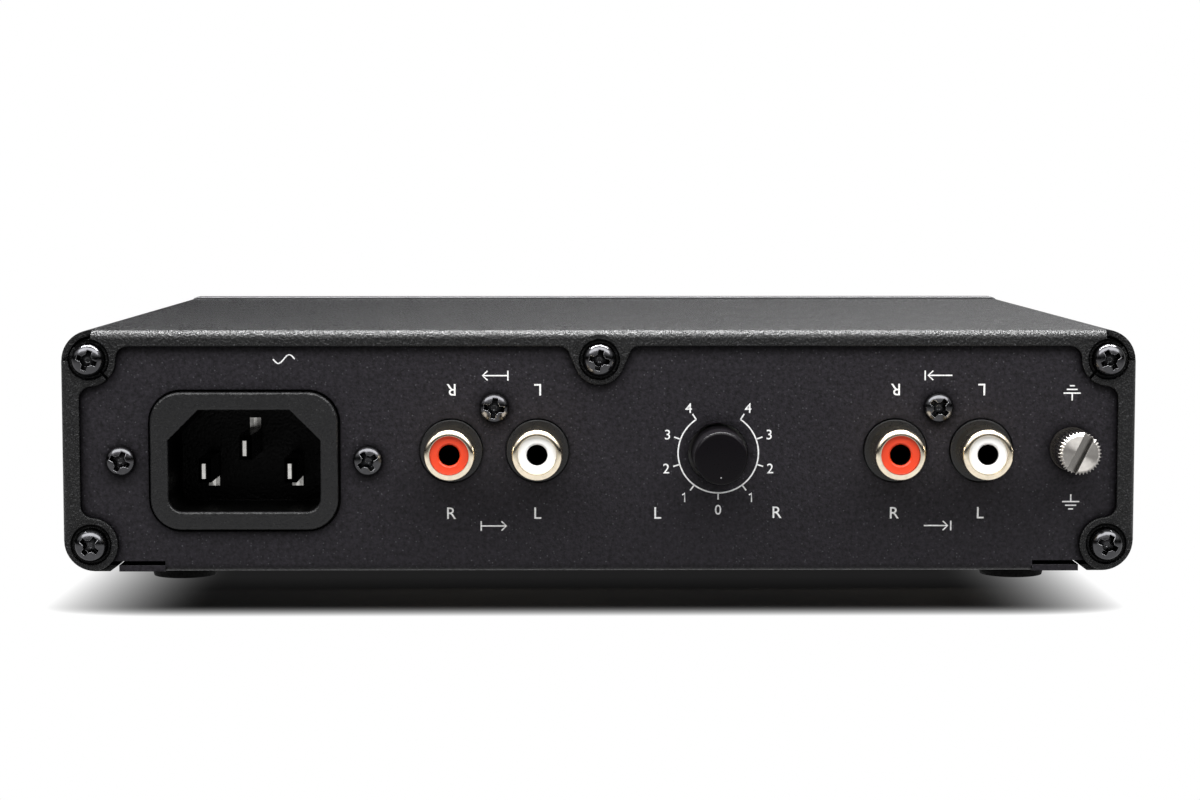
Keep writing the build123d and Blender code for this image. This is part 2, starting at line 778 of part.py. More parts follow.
with BuildPart() as jack_screws:
    for centre_x in (output_x, input_x):
        seat = lengthwise_plane(centre_x, wall_y, jack_screw_z)
        pan_screw(seat, jack_screw_length, pan_radius, pan_height)
save(jack_screws, "jack_screws")

# ---------------------------------------------------------------- balance control
knob_face_y = wall_y - knob_reach
knob_back_y = wall_in_y + knob_inner
shaft_end_y = knob_face_y + knob_cap
bush_y = knob_back_y + bush_gap
pot_y = bush_y + bush_length
pot_back_y = pot_y + pot_depth
shaft_root_y = pot_y + pot_depth / 2
balance_axis = [(balance_x, balance_z)]

with BuildPart() as balance_knob:
    bar(balance_axis, knob_radius, knob_face_y, knob_back_y)
    chamfer(edges().group_by(Axis.Y)[0], knob_edge)
    bar(balance_axis, shaft_radius, shaft_end_y, knob_back_y, mode=Mode.SUBTRACT)
    dot_point = (balance_x, balance_z - knob_dot_rise)
    bar([dot_point], knob_dot, knob_face_y, knob_face_y + knob_dot, mode=Mode.SUBTRACT)
save(balance_knob, "balance_knob")

with BuildPart() as balance_shaft:
    bar(balance_axis, shaft_radius, shaft_end_y, shaft_root_y)
save(balance_shaft, "balance_shaft")

with BuildPart() as balance_pot:
    bar(balance_axis, pot_radius, pot_y, pot_back_y)
    bar(balance_axis, bush_radius, bush_y, pot_y)
    foot_middle = (balance_z + board_top) / 2
    block(balance_x, foot_middle, pot_foot_width, balance_z - board_top, pot_y, pot_y + pot_foot_thickness)
    bar(balance_axis, shaft_radius + shaft_clearance, bush_y, shaft_root_y + bush_gap, mode=Mode.SUBTRACT)
save(balance_pot, "balance_pot")

# ---------------------------------------------------------------- earth terminal
washer_y = wall_y - ground_seat_gap
head_y = washer_y - ground_washer_thickness
head_end_y = head_y - ground_head_length
ground_axis = [(ground_x, ground_z)]

with BuildPart() as ground_screw:
    bar(ground_axis, ground_head_radius, head_end_y, head_y)
    chamfer(edges().group_by(Axis.Y)[0], ground_head_edge)
    # Straight flutes round the head, and a slot across its end
    with BuildSketch(rear_plane(head_y)):
        with Locations((ground_x, ground_z)):
            with PolarLocations(ground_head_radius, ground_flutes):
                Circle(ground_flute_radius)
    extrude(amount=ground_head_length, mode=Mode.SUBTRACT)
    with BuildSketch(rear_plane(head_end_y + ground_slot_depth)):
        with Locations(Location((ground_x, ground_z), ground_slot_angle)):
            Rectangle(3 * ground_head_radius, ground_slot_width)
    extrude(amount=ground_slot_depth, mode=Mode.SUBTRACT)
    bar(ground_axis, ground_thread, head_y, head_y + ground_screw_length)
save(ground_screw, "ground_screw")

with BuildPart() as ground_washer:
    bar(ground_axis, ground_washer_radius, head_y, washer_y)
    bar(ground_axis, ground_thread + ground_thread_gap, head_y, washer_y, mode=Mode.SUBTRACT)
save(ground_washer, "ground_washer")

with BuildPart() as ground_nut:
    bar(ground_axis, ground_nut_radius, wall_in_y, wall_in_y + ground_nut_length)
    nut_bore = ground_thread + ground_thread_gap
    bar(ground_axis, nut_bore, wall_in_y, wall_in_y + ground_nut_length, mode=Mode.SUBTRACT)
save(ground_nut, "ground_nut")

with BuildPart() as ground_tag:
    # Ring round the nut, with a strap down to the board
    strap_middle = (ground_z + board_top) / 2
    block(ground_x, strap_middle, tag_width, ground_z - board_top, wall_in_y, wall_in_y + tag_thickness)
    bar(ground_axis, tag_radius, wall_in_y, wall_in_y + tag_thickness)
    bar(ground_axis, ground_nut_radius, wall_in_y, wall_in_y + tag_thickness, mode=Mode.SUBTRACT)
    foot_z = board_top + tag_thickness / 2
    block(ground_x, foot_z, tag_width, tag_thickness, wall_in_y, wall_in_y + tag_foot)
save(ground_tag, "ground_tag")

# ---------------------------------------------------------------- front controls
button_flange_y = flange_pocket_y - button_stop_gap
switch_y = front_wall_in_y - switch_setback
front_board_y = switch_y - switch_depth
plunger_tip_y = plug_y + plunger_gap

with BuildPart() as power_button:
    bar(button_axis, button_radius, button_flange_y - button_flange, fascia_front_y + button_reach)
    chamfer(edges().group_by(Axis.Y)[-1], button_edge)
    bar(button_axis, button_flange_radius, button_flange_y - button_flange, button_flange_y)
    bar(button_axis, stem_radius, plunger_tip_y, button_flange_y - button_flange)
save(power_button, "power_button")

with BuildPart() as switch_plunger:
    bar(button_axis, plunger_radius, switch_y - plunger_depth + button_travel + plunger_gap, plunger_tip_y)
save(switch_plunger, "switch_plunger")

with BuildPart() as power_switch:
    block(button_x, button_z, switch_size, switch_size, front_board_y, switch_y)
    bar(button_axis, plunger_radius + plunger_gap, switch_y - plunger_depth, switch_y, mode=Mode.SUBTRACT)
save(power_switch, "power_switch")

front_board_x = (button_x + light_x) / 2
front_board_z = board_top + solder_gap + front_board_height / 2
with BuildPart() as front_board:
    block(
        front_board_x,
        front_board_z,
        front_board_width,
        front_board_height,
        front_board_y - board_thickness,
        front_board_y,
    )
save(front_board, "front_board")

with BuildPart() as status_led:
    bar(light_axis, led_radius, front_board_y, front_board_y + led_length)
save(status_led, "status_led")

with BuildPart() as light_pipe:
    bar(light_axis, light_radius, front_board_y + led_length + light_gap, fascia_front_y)
save(light_pipe, "light_pipe")

# ---------------------------------------------------------------- main board
notch_y = wall_in_y + inlet_flange + board_notch_gap
with BuildPart() as main_board:
    with BuildSketch(Plane.XY.offset(board_z)):
        with Locations((0, (board_rear_y + board_front_y) / 2)):
            Rectangle(2 * board_half, board_front_y - board_rear_y)
        # Room for the inlet's flange
        with Locations((inlet_x, board_rear_y)):
            Rectangle(
                inlet_flange_width + 2 * board_notch_gap,
                notch_y - board_rear_y,
                align=(Align.CENTER, Align.MIN),
                mode=Mode.SUBTRACT,
            )
        with Locations(*board_screw_points):
            Circle(clearance_hole, mode=Mode.SUBTRACT)
    extrude(amount=board_thickness)
save(main_board, "main_board")

with BuildPart() as board_standoffs:
    with BuildSketch(Plane.XY.offset(plate_z)):
        with Locations(*board_screw_points):
            Circle(standoff_radius)
            Circle(thread_hole, mode=Mode.SUBTRACT)
    extrude(amount=standoff_height)
save(board_standoffs, "board_standoffs")

with BuildPart() as board_screws:
    for x, y in board_screw_points:
        seat = Plane(origin=(x, y, board_top), x_dir=(0, 0, -1), z_dir=(0, 1, 0))
        pan_screw(seat, board_screw_length, pan_radius, pan_height)
save(board_screws, "board_screws")

with BuildPart() as board_header:
    header_middle = (front_board_x, front_board_y - board_thickness - header_size[1] / 2, board_top)
    with Locations(header_middle):
        Box(*header_size, align=(Align.CENTER, Align.CENTER, Align.MIN))
save(board_header, "board_header")


def on_board(middle_x, place):
    """Place on the board's top for a component given from a pair of jacks and the wall's inner face."""
    return (middle_x + place[0], wall_in_y + place[1], board_top)


def on_mains_side(place):
    """Place on the board's top for a component given from the inlet's axis and the rear of its pins."""
    return (inlet_x + place[0], inlet_back_y + tail_thickness + place[1], board_top)


def standing_box(size, place, edge=0.0):
    """Component with a rectangular body that stands on the board."""
    with Locations(place):
        Box(*size, align=(Align.CENTER, Align.CENTER, Align.MIN))
    if edge:
        chamfer(edges().group_by(Axis.Z)[-1], edge)


def cans(radius, height, place, pitch=0.0, across=1, along=1):
    """Rows of round capacitors that stand on the board, with a rolled top edge."""
    with Locations(place):
        with GridLocations(pitch, pitch, across, along):
            Cylinder(radius, height, align=(Align.CENTER, Align.CENTER, Align.MIN))
    chamfer(edges().group_by(Axis.Z)[-1], can_edge)


# ---------------------------------------------------------------- mains side of the board
fuse_z = board_top + clip_sheet + clip_gap + fuse_radius
fuse_middle = (inlet_x, on_mains_side((0, fuse_y))[1], fuse_z)

with BuildPart() as mains_fuse:
    with BuildSketch(Plane(origin=fuse_middle, x_dir=(0, 1, 0), z_dir=(1, 0, 0))):
        Circle(fuse_radius)
    extrude(amount=fuse_length / 2, both=True)
    with BuildSketch(Plane(origin=fuse_middle, x_dir=(0, 1, 0), z_dir=(1, 0, 0))):
        Circle(2 * fuse_radius)
        Circle(fuse_radius - fuse_glass_step, mode=Mode.SUBTRACT)
    extrude(amount=fuse_length / 2 - fuse_cap, both=True, mode=Mode.SUBTRACT)
save(mains_fuse, "mains_fuse")

with BuildPart() as fuse_clips:
    clip_half = fuse_radius + clip_gap
    for side in (-1, 1):
        clip_x = inlet_x + side * (fuse_length - clip_length) / 2
        with BuildSketch(Plane(origin=(clip_x, fuse_middle[1], board_top), x_dir=(0, 1, 0), z_dir=(1, 0, 0))):
            Rectangle(2 * (clip_half + clip_sheet), clip_height, align=(Align.CENTER, Align.MIN))
            with Locations((0, clip_sheet)):
                Rectangle(2 * clip_half, clip_height, align=(Align.CENTER, Align.MIN), mode=Mode.SUBTRACT)
        extrude(amount=clip_length / 2, both=True)
save(fuse_clips, "fuse_clips")

with BuildPart() as suppression_capacitor:
    standing_box(suppressor_size, on_mains_side(suppressor_place), can_edge)
save(suppression_capacitor, "suppression_capacitor")

with BuildPart() as filter_choke:
    x, y, z = on_mains_side(choke_place)
    core_z = z + choke_base + coil_radius - choke_seat
    with Locations((x, y, z)):
        Box(*choke_size, choke_base, align=(Align.CENTER, Align.CENTER, Align.MIN))
    # Core ring lying flat, with a coil round each of its long legs
    with BuildSketch(Plane.XY.offset(core_z - choke_core / 2)):
        with Locations((x, y)):
            Rectangle(*choke_size)
            Rectangle(choke_size[0] - 2 * choke_core, choke_size[1] - 2 * choke_core, mode=Mode.SUBTRACT)
    extrude(amount=choke_core)
    coil_x = (choke_size[0] - choke_core) / 2
    for side in (-1, 1):
        with BuildSketch(rear_plane(y)) as coil:
            with Locations((x + side * coil_x, core_z)):
                Circle(coil_radius)
        extrude(coil.sketch, amount=coil_length / 2, both=True)
save(filter_choke, "filter_choke")

with BuildPart() as bridge_rectifier:
    standing_box(bridge_size, on_mains_side(bridge_place))
    upright_edges = edges().filter_by(Axis.Y)
    chamfer(upright_edges.sort_by(lambda edge: edge.center().X + edge.center().Z)[-1], bridge_corner)
save(bridge_rectifier, "bridge_rectifier")

with BuildPart() as bulk_capacitor:
    cans(bulk_radius, bulk_height, on_mains_side(bulk_place))
save(bulk_capacitor, "bulk_capacitor")

with BuildPart() as power_transformer:
    x, y, z = on_mains_side(transformer_place)
    standing_box(transformer_base, (x, y, z))
    winding_z = z + transformer_base[2] + (transformer_core[2] - transformer_winding[2]) / 2
    # Ferrite frame round the winding
    core_width, core_depth, core_height = transformer_core
    with BuildSketch(rear_plane(y + core_depth / 2)):
        with Locations((x, z + transformer_base[2] + core_height / 2)):
            Rectangle(core_width, core_height)
            Rectangle(core_width - 2 * transformer_leg, core_height - 2 * transformer_leg, mode=Mode.SUBTRACT)
    extrude(amount=core_depth)
    standing_box(transformer_winding, (x, y, winding_z))
save(power_transformer, "power_transformer")

# ---------------------------------------------------------------- low-voltage side of the board
regulator_x, regulator_y, _ = on_board(output_x, regulator_place)
heatsink_y = regulator_y + regulator_size[1] / 2
with BuildPart() as regulators:
    with Locations(on_board(output_x, regulator_place)):
        with GridLocations(regulator_pitch, 0, 2, 1):
            Box(*regulator_size, align=(Align.CENTER, Align.CENTER, Align.MIN))
save(regulators, "regulators")

with BuildPart() as heatsink:
    # Channel bent from sheet, standing on its end behind the regulators
    with BuildSketch(Plane.XY.offset(board_top)):
        with Locations((regulator_x, heatsink_y)):
            Rectangle(heatsink_size[0], heatsink_size[1], align=(Align.CENTER, Align.MIN))
        with Locations((regulator_x, heatsink_y + heatsink_sheet)):
            Rectangle(
                heatsink_size[0] - 2 * heatsink_sheet,
                heatsink_size[1],
                align=(Align.CENTER, Align.MIN),
                mode=Mode.SUBTRACT,
            )
    extrude(amount=heatsink_size[2])
save(heatsink, "heatsink")

with BuildPart() as smoothing_capacitors:
    cans(smoothing_radius, smoothing_height, on_board(output_x, smoothing_place), smoothing_pitch, 2, 2)
save(smoothing_capacitors, "smoothing_capacitors")

with BuildPart() as mute_relay:
    standing_box(relay_size, on_board(output_x, relay_place), can_edge)
save(mute_relay, "mute_relay")

with BuildPart() as film_capacitors:
    with Locations(on_board(input_x, film_place)):
        with GridLocations(*film_pitch, 4, 2):
            Box(*film_size, align=(Align.CENTER, Align.CENTER, Align.MIN))
save(film_capacitors, "film_capacitors")

with BuildPart() as amplifier_chips:
    with Locations(on_board(input_x, chip_place)):
        with GridLocations(*chip_pitch, 2, 2):
            Box(*chip_size, align=(Align.CENTER, Align.CENTER, Align.MIN))
save(amplifier_chips, "amplifier_chips")

with BuildPart() as signal_capacitors:
    cans(signal_can_radius, signal_can_height, on_board(input_x, signal_can_place), signal_can_pitch, 3, 2)
save(signal_capacitors, "signal_capacitors")
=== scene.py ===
"""Finishes for a phono preamplifier: powder coat, plated screws and jacks, moulded inlet, printed dial.

Metres, in the frame of the construction model: +X to the right as seen from the connectors, +Z up, and
-Y towards the connectors. The first operator sets the stage, and each other one dresses a group of pieces.
"""

from functools import partial
from math import cos, pi, radians, sin, tan

import bmesh
import bpy
from bpy.props import FloatProperty, FloatVectorProperty, IntProperty, PointerProperty
from mathutils import Matrix, Vector


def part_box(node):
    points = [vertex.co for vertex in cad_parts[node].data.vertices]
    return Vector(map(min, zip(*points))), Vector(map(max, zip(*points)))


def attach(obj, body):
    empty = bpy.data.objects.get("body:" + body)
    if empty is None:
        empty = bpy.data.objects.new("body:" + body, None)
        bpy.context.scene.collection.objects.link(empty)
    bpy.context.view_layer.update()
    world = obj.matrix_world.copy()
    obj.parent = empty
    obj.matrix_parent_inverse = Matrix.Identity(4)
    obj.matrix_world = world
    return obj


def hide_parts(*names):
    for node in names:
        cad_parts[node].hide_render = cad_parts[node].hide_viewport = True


bl_info = {
    "name": "Phono preamplifier finishes",
    "version": (1, 0, 0),
    "blender": (4, 5, 0),
    "location": "View3D > Sidebar > Preamp",
    "description": "Dresses a phono preamplifier's construction model",
    "category": "Object",
}

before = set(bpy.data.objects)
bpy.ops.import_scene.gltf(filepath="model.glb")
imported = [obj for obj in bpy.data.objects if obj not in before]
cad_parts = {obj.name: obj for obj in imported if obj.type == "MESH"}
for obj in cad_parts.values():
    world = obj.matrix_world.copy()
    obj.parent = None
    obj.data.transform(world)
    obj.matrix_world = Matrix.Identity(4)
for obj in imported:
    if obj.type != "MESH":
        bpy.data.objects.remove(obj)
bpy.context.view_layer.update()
MM = 0.001

cover_low, cover_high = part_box("top_cover")
CASE_MIDDLE = (cover_low + cover_high) / 2
WALL_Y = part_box("chassis_tray")[0].y
PAINT_EDGE = 0.15 * MM  # rounding that the paint and the moulds leave on sharp edges
CORNER_RAYS = 6  # samples that round an edge or find a corner
SCREW_SIDES = 72
TO_CONNECTORS = (pi / 2, 0, 0)  # turn from +Z to -Y

# Collections that one lamp leaves out, and that another lights alone
UNLIT_BY_STRIP = "flagged_plating"
LIT_BY_GLOW = "lit_plating"

# Kinds of node that the trees use most
VECTOR = "ShaderNodeVectorMath"
RANGE = "ShaderNodeMapRange"
MIX = "ShaderNodeMix"
NOISE = "ShaderNodeTexNoise"
SPLIT = "ShaderNodeSeparateXYZ"
COMBINE = "ShaderNodeCombineXYZ"
POSITION = "GeometryNodeInputPosition"
MOVE = "GeometryNodeSetPosition"
TRANSFORM = "GeometryNodeTransform"
CYLINDER = "GeometryNodeMeshCylinder"
CONE = "GeometryNodeMeshCone"
CUBE = "GeometryNodeMeshCube"
GRID = "GeometryNodeMeshGrid"
JOIN = "GeometryNodeJoinGeometry"
PLACE = "GeometryNodeInstanceOnPoints"


# ---------------------------------------------------------------- sizes and colours that a user would change
def linear(hex_colour):
    """Linear RGBA of an sRGB hex colour."""
    channels = [int(hex_colour[i : i + 2], 16) / 255 for i in (1, 3, 5)]
    return (*[c / 12.92 if c <= 0.04045 else ((c + 0.055) / 1.055) ** 2.4 for c in channels], 1.0)


def colour_property(name, description, hex_colour):
    return FloatVectorProperty(
        name=name, description=description, subtype="COLOR", size=4, min=0, max=1, default=linear(hex_colour)
    )


def length_property(name, description, millimetres):
    return FloatProperty(
        name=name, description=description, unit="LENGTH", precision=5, min=0, default=millimetres * MM
    )


def angle_property(name, description, degrees):
    return FloatProperty(
        name=name, description=description, subtype="ANGLE", unit="ROTATION", default=radians(degrees)
    )


def power_property(name, description, watts):
    return FloatProperty(name=name, description=description, unit="POWER", min=0, default=watts)


class PreampColours(bpy.types.PropertyGroup):
    cover_paint: colour_property("Cover paint", "Powder coat of the folded cover", "#0d0d0e")
    wall_paint: colour_property("Wall paint", "Powder coat of the tray and its rear wall", "#1e1c20")
    paint_flake: colour_property("Paint flake", "Pale specks in the powder coat", "#5c5c60")
    print_ink: colour_property("Print", "Ink of the dial and the letters", "#f2f2f2")
    inlet_plastic: colour_property("Inlet", "Moulded mains inlet", "#19191a")
    black_plastic: colour_property("Black plastic", "Moulded jack blocks", "#171718")
    knob_plastic: colour_property("Knob", "Moulded balance knob", "#0c0a0d")
    gold_plate: colour_property("Gold plate", "Pale gold of the jack shells", "#f7ead2")
    nickel_plate: colour_property("Nickel plate", "Plating of the earth screw", "#c8c4bf")
    red_insulator: colour_property("Right channel", "Insulators of the right channel", "#e03f18")
    white_insulator: colour_property("Left channel", "Insulators of the left channel", "#fbfaf7")


class PreampSizes(bpy.types.PropertyGroup):
    head_radius: length_property("Cover screw head", "Radius of a cover screw's head", 2.55)
    head_height: length_property("Cover screw height", "Height of a cover screw's head over its flange", 1.9)
    flange_radius: length_property("Flange", "Radius of the flange under a cover screw's head", 2.75)
    flange_height: length_property("Flange height", "Thickness of that flange", 0.5)
    pan_radius: length_property("Panel screw head", "Radius of a panel screw's head", 2.4)
    pan_height: length_property("Panel screw height", "Height of a panel screw's head", 1.8)
    shank_radius: length_property("Shank", "Radius of the screws' shanks", 1.45)
    recess_reach: length_property("Recess reach", "Centre of a screw to the tip of its cross recess", 2.0)
    recess_width: length_property("Recess width", "Width of the cross recess's wings", 1.0)
    recess_depth: length_property("Recess depth", "Depth of the cross recess", 1.4)
    dial_radius: length_property("Dial radius", "Centre line of the dial's ring", 6.52)
    line_width: length_property("Line width", "Width of the printed lines", 0.23)
    ink_thickness: length_property("Ink", "Thickness of the print", 0.02)
    tick_length: length_property("Tick length", "Length of a dial mark, from the ring", 1.1)
    dial_sweep: angle_property("Dial sweep", "Bottom of the dial to its last mark", 146.6)
    dial_marks: IntProperty(name="Dial marks", description="Marks round the dial", default=9, min=2)
    numeral_height: length_property("Numeral height", "Height of the dial's numerals", 1.6)
    letter_height: length_property("Letter height", "Height of the channel letters", 1.87)
    flutes: IntProperty(name="Flutes", description="Flutes round the earth screw", default=36, min=8)
    flute_radius: length_property("Flute radius", "Radius of an earth screw flute", 0.24)
    thread_pitch: length_property("Thread pitch", "Pitch of the earth screw", 0.7)
    paint_grain: length_property("Paint grain", "Size of the powder coat's grains", 0.4)


class PreampStudio(bpy.types.PropertyGroup):
    key_power: power_property("Key", "Power of the key lamp", 2.5)
    rim_power: power_property("Rim", "Power of the strip over the rear edge", 27.0)
    fill_power: power_property("Fill", "Power of the front softbox", 14.5)
    glow_power: power_property("Plating", "Power of the strip that lights the jack shells alone", 0.9)
    ambient: FloatProperty(name="Ambient", description="Strength of the even light all round", default=0.01)
    lens: FloatProperty(name="Lens", description="Focal length", unit="CAMERA", default=79.54)
    camera_place: FloatVectorProperty(
        name="Camera",
        description="Where the camera stands",
        subtype="TRANSLATION",
        unit="LENGTH",
        default=(-3.37 * MM, -487.35 * MM, 65.22 * MM),
    )
    camera_turn: angle_property("Camera turn", "Turn of the camera to the right", 0.4655)
    camera_tilt: angle_property("Camera tilt", "Tilt of the camera downwards", 4.579)


# ---------------------------------------------------------------- helpers for materials
def shown(sockets):
    """The sockets that a node's settings leave in use."""
    return [socket for socket in sockets if socket.enabled]


def add_node(tree, kind, *inputs, **settings):
    """Add a node with its settings, and fill its inputs in order, or by name from a dictionary.

    Its kind in capitals is a math node's operation. An input takes a value, a socket, a node (its first
    output) or, where it holds many, a list of those.
    """
    if kind.isupper():
        kind, settings["operation"] = "ShaderNodeMath", kind
    node = tree.nodes.new(kind)
    for name, value in settings.items():
        setattr(node, name, value)
    named = inputs and isinstance(inputs[0], dict)
    for key, value in inputs[0].items() if named else enumerate(inputs):
        socket = node.inputs[key] if named else shown(node.inputs)[key]
        for source in value if isinstance(value, list) else [value]:
            if isinstance(source, bpy.types.Node):
                source = shown(source.outputs)[0]
            if isinstance(source, bpy.types.NodeSocket):
                tree.links.new(source, socket)
            else:
                socket.default_value = source
    return node


def scaled(colour, share):
    """A colour made darker or lighter."""
    return (*[c * share for c in colour[:3]], 1.0)


def new_finish(name):
    """Empty material, with the function that adds its nodes and with its object coordinates."""
    material = bpy.data.materials.new(name)
    material.use_nodes = True
    material.node_tree.nodes.clear()
    add = partial(add_node, material.node_tree)
    return material, add, add("ShaderNodeTexCoord").outputs["Object"]


def lumps_of(size, place, detail=2.0, roughness=0.55):
    """Inputs of a noise whose lumps are about the given size."""
    return {"Vector": place, "Scale": 1 / size, "Detail": detail, "Roughness": roughness}


def shade(material, inputs, relief, depth, edge=0.0):
    """End a material in a shader with these inputs, its relief of the given depth and its edges' rounding."""
    add = partial(add_node, material.node_tree)
    relief_inputs = {"Height": relief, "Distance": depth}
    if edge:
        relief_inputs["Normal"] = add("ShaderNodeBevel", {"Radius": edge}, samples=CORNER_RAYS)
    bump = add("ShaderNodeBump", relief_inputs)
    shader = add("ShaderNodeBsdfPrincipled", {**inputs, "Normal": bump})
    add("ShaderNodeOutputMaterial", {"Surface": shader})
    return material


def paint_over(material, share, colour):
    """Cover a finished material with a colour, by a share that varies over the surface."""
    tree = material.node_tree
    base = tree.nodes["Principled BSDF"].inputs["Base Color"]
    tone = add_node(tree, MIX, share, base.links[0].from_socket, colour, data_type="RGBA")
    tree.links.new(shown(tone.outputs)[0], base)


def shade_inside(material, first, last, hex_colour):
    """Paint shade into a finished material from one depth to another inside a hole: darker and less glossy
    deeper in.
    """
    tree = material.node_tree
    add = partial(add_node, tree)
    place = add("ShaderNodeTexCoord").outputs["Object"]
    depth = add(SPLIT, place).outputs[1]
    deep = add(RANGE, depth, first, last, 0.0, 1.0)
    paint_over(material, deep, linear(hex_colour))
    gloss = tree.nodes["Principled BSDF"].inputs["Specular IOR Level"]
    full, dulled = gloss.default_value, gloss.default_value / 4
    tree.links.new(add(RANGE, deep, 0.0, 1.0, full, dulled).outputs[0], gloss)


def dress(node_names, material):
    """Give construction nodes their material."""
    for name in node_names:
        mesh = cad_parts[name].data
        mesh.materials.clear()
        mesh.materials.append(material)


# ---------------------------------------------------------------- helpers for meshes
def finished(name, mesh, material, body, replaces=(), sharp=radians(35)):
    """Object for a finished mesh, with its shading, material, body and the nodes that it stands for."""
    mesh.name = name
    mesh.materials.clear()
    mesh.materials.append(material)
    mesh.shade_smooth()
    mesh.set_sharp_from_angle(angle=sharp)
    piece = bpy.data.objects.new(name, mesh)
    bpy.context.scene.collection.objects.link(piece)
    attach(piece, body)
    if replaces:
        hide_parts(*replaces)
    return piece


def rounded(corners, steps=6):
    """Outline through (radius, depth, rounding) corners, with an arc at each one that has a rounding."""
    points = []
    for i, (r, y, rounding) in enumerate(corners):
        here = Vector((r, y))
        if not rounding:
            points.append(here)
            continue
        before = (Vector(corners[i - 1][:2]) - here).normalized()
        after = (Vector(corners[(i + 1) % len(corners)][:2]) - here).normalized()
        half = before.angle(after) / 2
        centre = here + (before + after).normalized() * rounding / sin(half)
        start = here + before * rounding / tan(half) - centre
        turn = start.angle_signed(here + after * rounding / tan(half) - centre)
        for step in range(steps + 1):
            points.append(centre + Matrix.Rotation(-turn * step / steps, 2) @ start)
    return points


def turned(corners, axis, segments=96):
    """Mesh of a closed profile of (radius, depth, rounding) corners, turned about the axis at (x, z)."""
    made = bmesh.new()
    rings = []
    for r, y in rounded(corners):
        if r < 1e-7:  # on the axis, where all of a ring's points are one
            rings.append([made.verts.new((axis[0], y, axis[1]))] * segments)
            continue
        turns = [2 * pi * i / segments for i in range(segments)]
        rings.append([made.verts.new((axis[0] + r * sin(t), y, axis[1] + r * cos(t))) for t in turns])
    for ring, following in zip(rings, rings[1:] + rings[:1]):
        for i in range(segments):
            j = (i + 1) % segments
            corners_of_face = dict.fromkeys((ring[i], ring[j], following[j], following[i]))
            if len(corners_of_face) > 2:
                made.faces.new(corners_of_face)
    bmesh.ops.recalc_face_normals(made, faces=made.faces)
    mesh = bpy.data.meshes.new("turned")
    made.to_mesh(mesh)
    made.free()
    return mesh


def middle_of(node):
    """Axis (x, z), first and last depth and radius of a node that is round about Y."""
    low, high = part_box(node)
    return ((low.x + high.x) / 2, (low.z + high.z) / 2), low.y, high.y, (high.x - low.x) / 2


def printed_text(words, height, x, z, turn=0.0):
    """Flat letters on the rear wall, centred on (x, z)."""
    ink = bpy.context.scene.preamp_sizes.ink_thickness
    curve = bpy.data.curves.new("letters", "FONT")
    curve.body = words
    curve.offset = 0.004  # of the letters' size: the strokes' extra weight
    curve.extrude = ink / 2
    letters = bpy.data.objects.new("letters", curve)
    bpy.context.scene.collection.objects.link(letters)
    bpy.context.view_layer.update()
    mesh = bpy.data.meshes.new_from_object(letters)
    bpy.data.objects.remove(letters)
    bpy.data.curves.remove(curve)
    xs = [v.co.x for v in mesh.vertices]
    ys = [v.co.y for v in mesh.vertices]
    size = height / (max(ys) - min(ys))
    centre = Vector(((max(xs) + min(xs)) / 2, (max(ys) + min(ys)) / 2, 0))
    flat = Matrix.Diagonal((size, size, 1, 1)) @ Matrix.Translation(-centre)
    upright = Matrix.Translation((x, WALL_Y - ink / 2, z)) @ Matrix.Rotation(turn, 4, "Y")
    mesh.transform(upright @ Matrix.Rotation(pi / 2, 4, "X") @ flat)
    return mesh


def joined(meshes):
    """One mesh of several."""
    made = bmesh.new()
    for mesh in meshes:
        made.from_mesh(mesh)
        bpy.data.meshes.remove(mesh)
    mesh = bpy.data.meshes.new("joined")
    made.to_mesh(mesh)
    made.free()
    return mesh


# ---------------------------------------------------------------- geometry nodes
def new_tree(name, sizes):
    """Node group with an input for each size, the function that adds its nodes, and its inputs' sockets."""
    tree = bpy.data.node_groups.new(name, "GeometryNodeTree")
    tree.interface.new_socket("Geometry", in_out="INPUT", socket_type="NodeSocketGeometry")
    for label in sizes:
        kind = "NodeSocketInt" if label in ("Marks", "Flutes") else "NodeSocketFloat"
        tree.interface.new_socket(label, in_out="INPUT", socket_type=kind)
    tree.interface.new_socket("Material", in_out="INPUT", socket_type="NodeSocketMaterial")
    tree.interface.new_socket("Geometry", in_out="OUTPUT", socket_type="NodeSocketGeometry")
    add = partial(add_node, tree)
    return tree, add, add("NodeGroupInput").outputs


def moved(add, geometry, height, turn=0.0):
    """Move geometry along Z and turn it about Z."""
    place = add(COMBINE, 0.0, 0.0, height)
    facing = add(COMBINE, 0.0, 0.0, turn)
    return add(TRANSFORM, {"Geometry": geometry, "Translation": place, "Rotation": facing})


def narrowed(add, geometry, x_share, y_share):
    """Scale geometry about Z by shares that may vary from point to point."""
    place = add(VECTOR, add(POSITION), add(COMBINE, x_share, y_share, 1.0), operation="MULTIPLY")
    return add(MOVE, {"Geometry": geometry, "Position": place})


def finish_tree(add, inputs, geometry):
    """Realize a tree's instances, set its material and end it."""
    real = add("GeometryNodeRealizeInstances", {"Geometry": geometry})
    painted = add("GeometryNodeSetMaterial", {"Geometry": real, "Material": inputs["Material"]})
    add("NodeGroupOutput", painted)


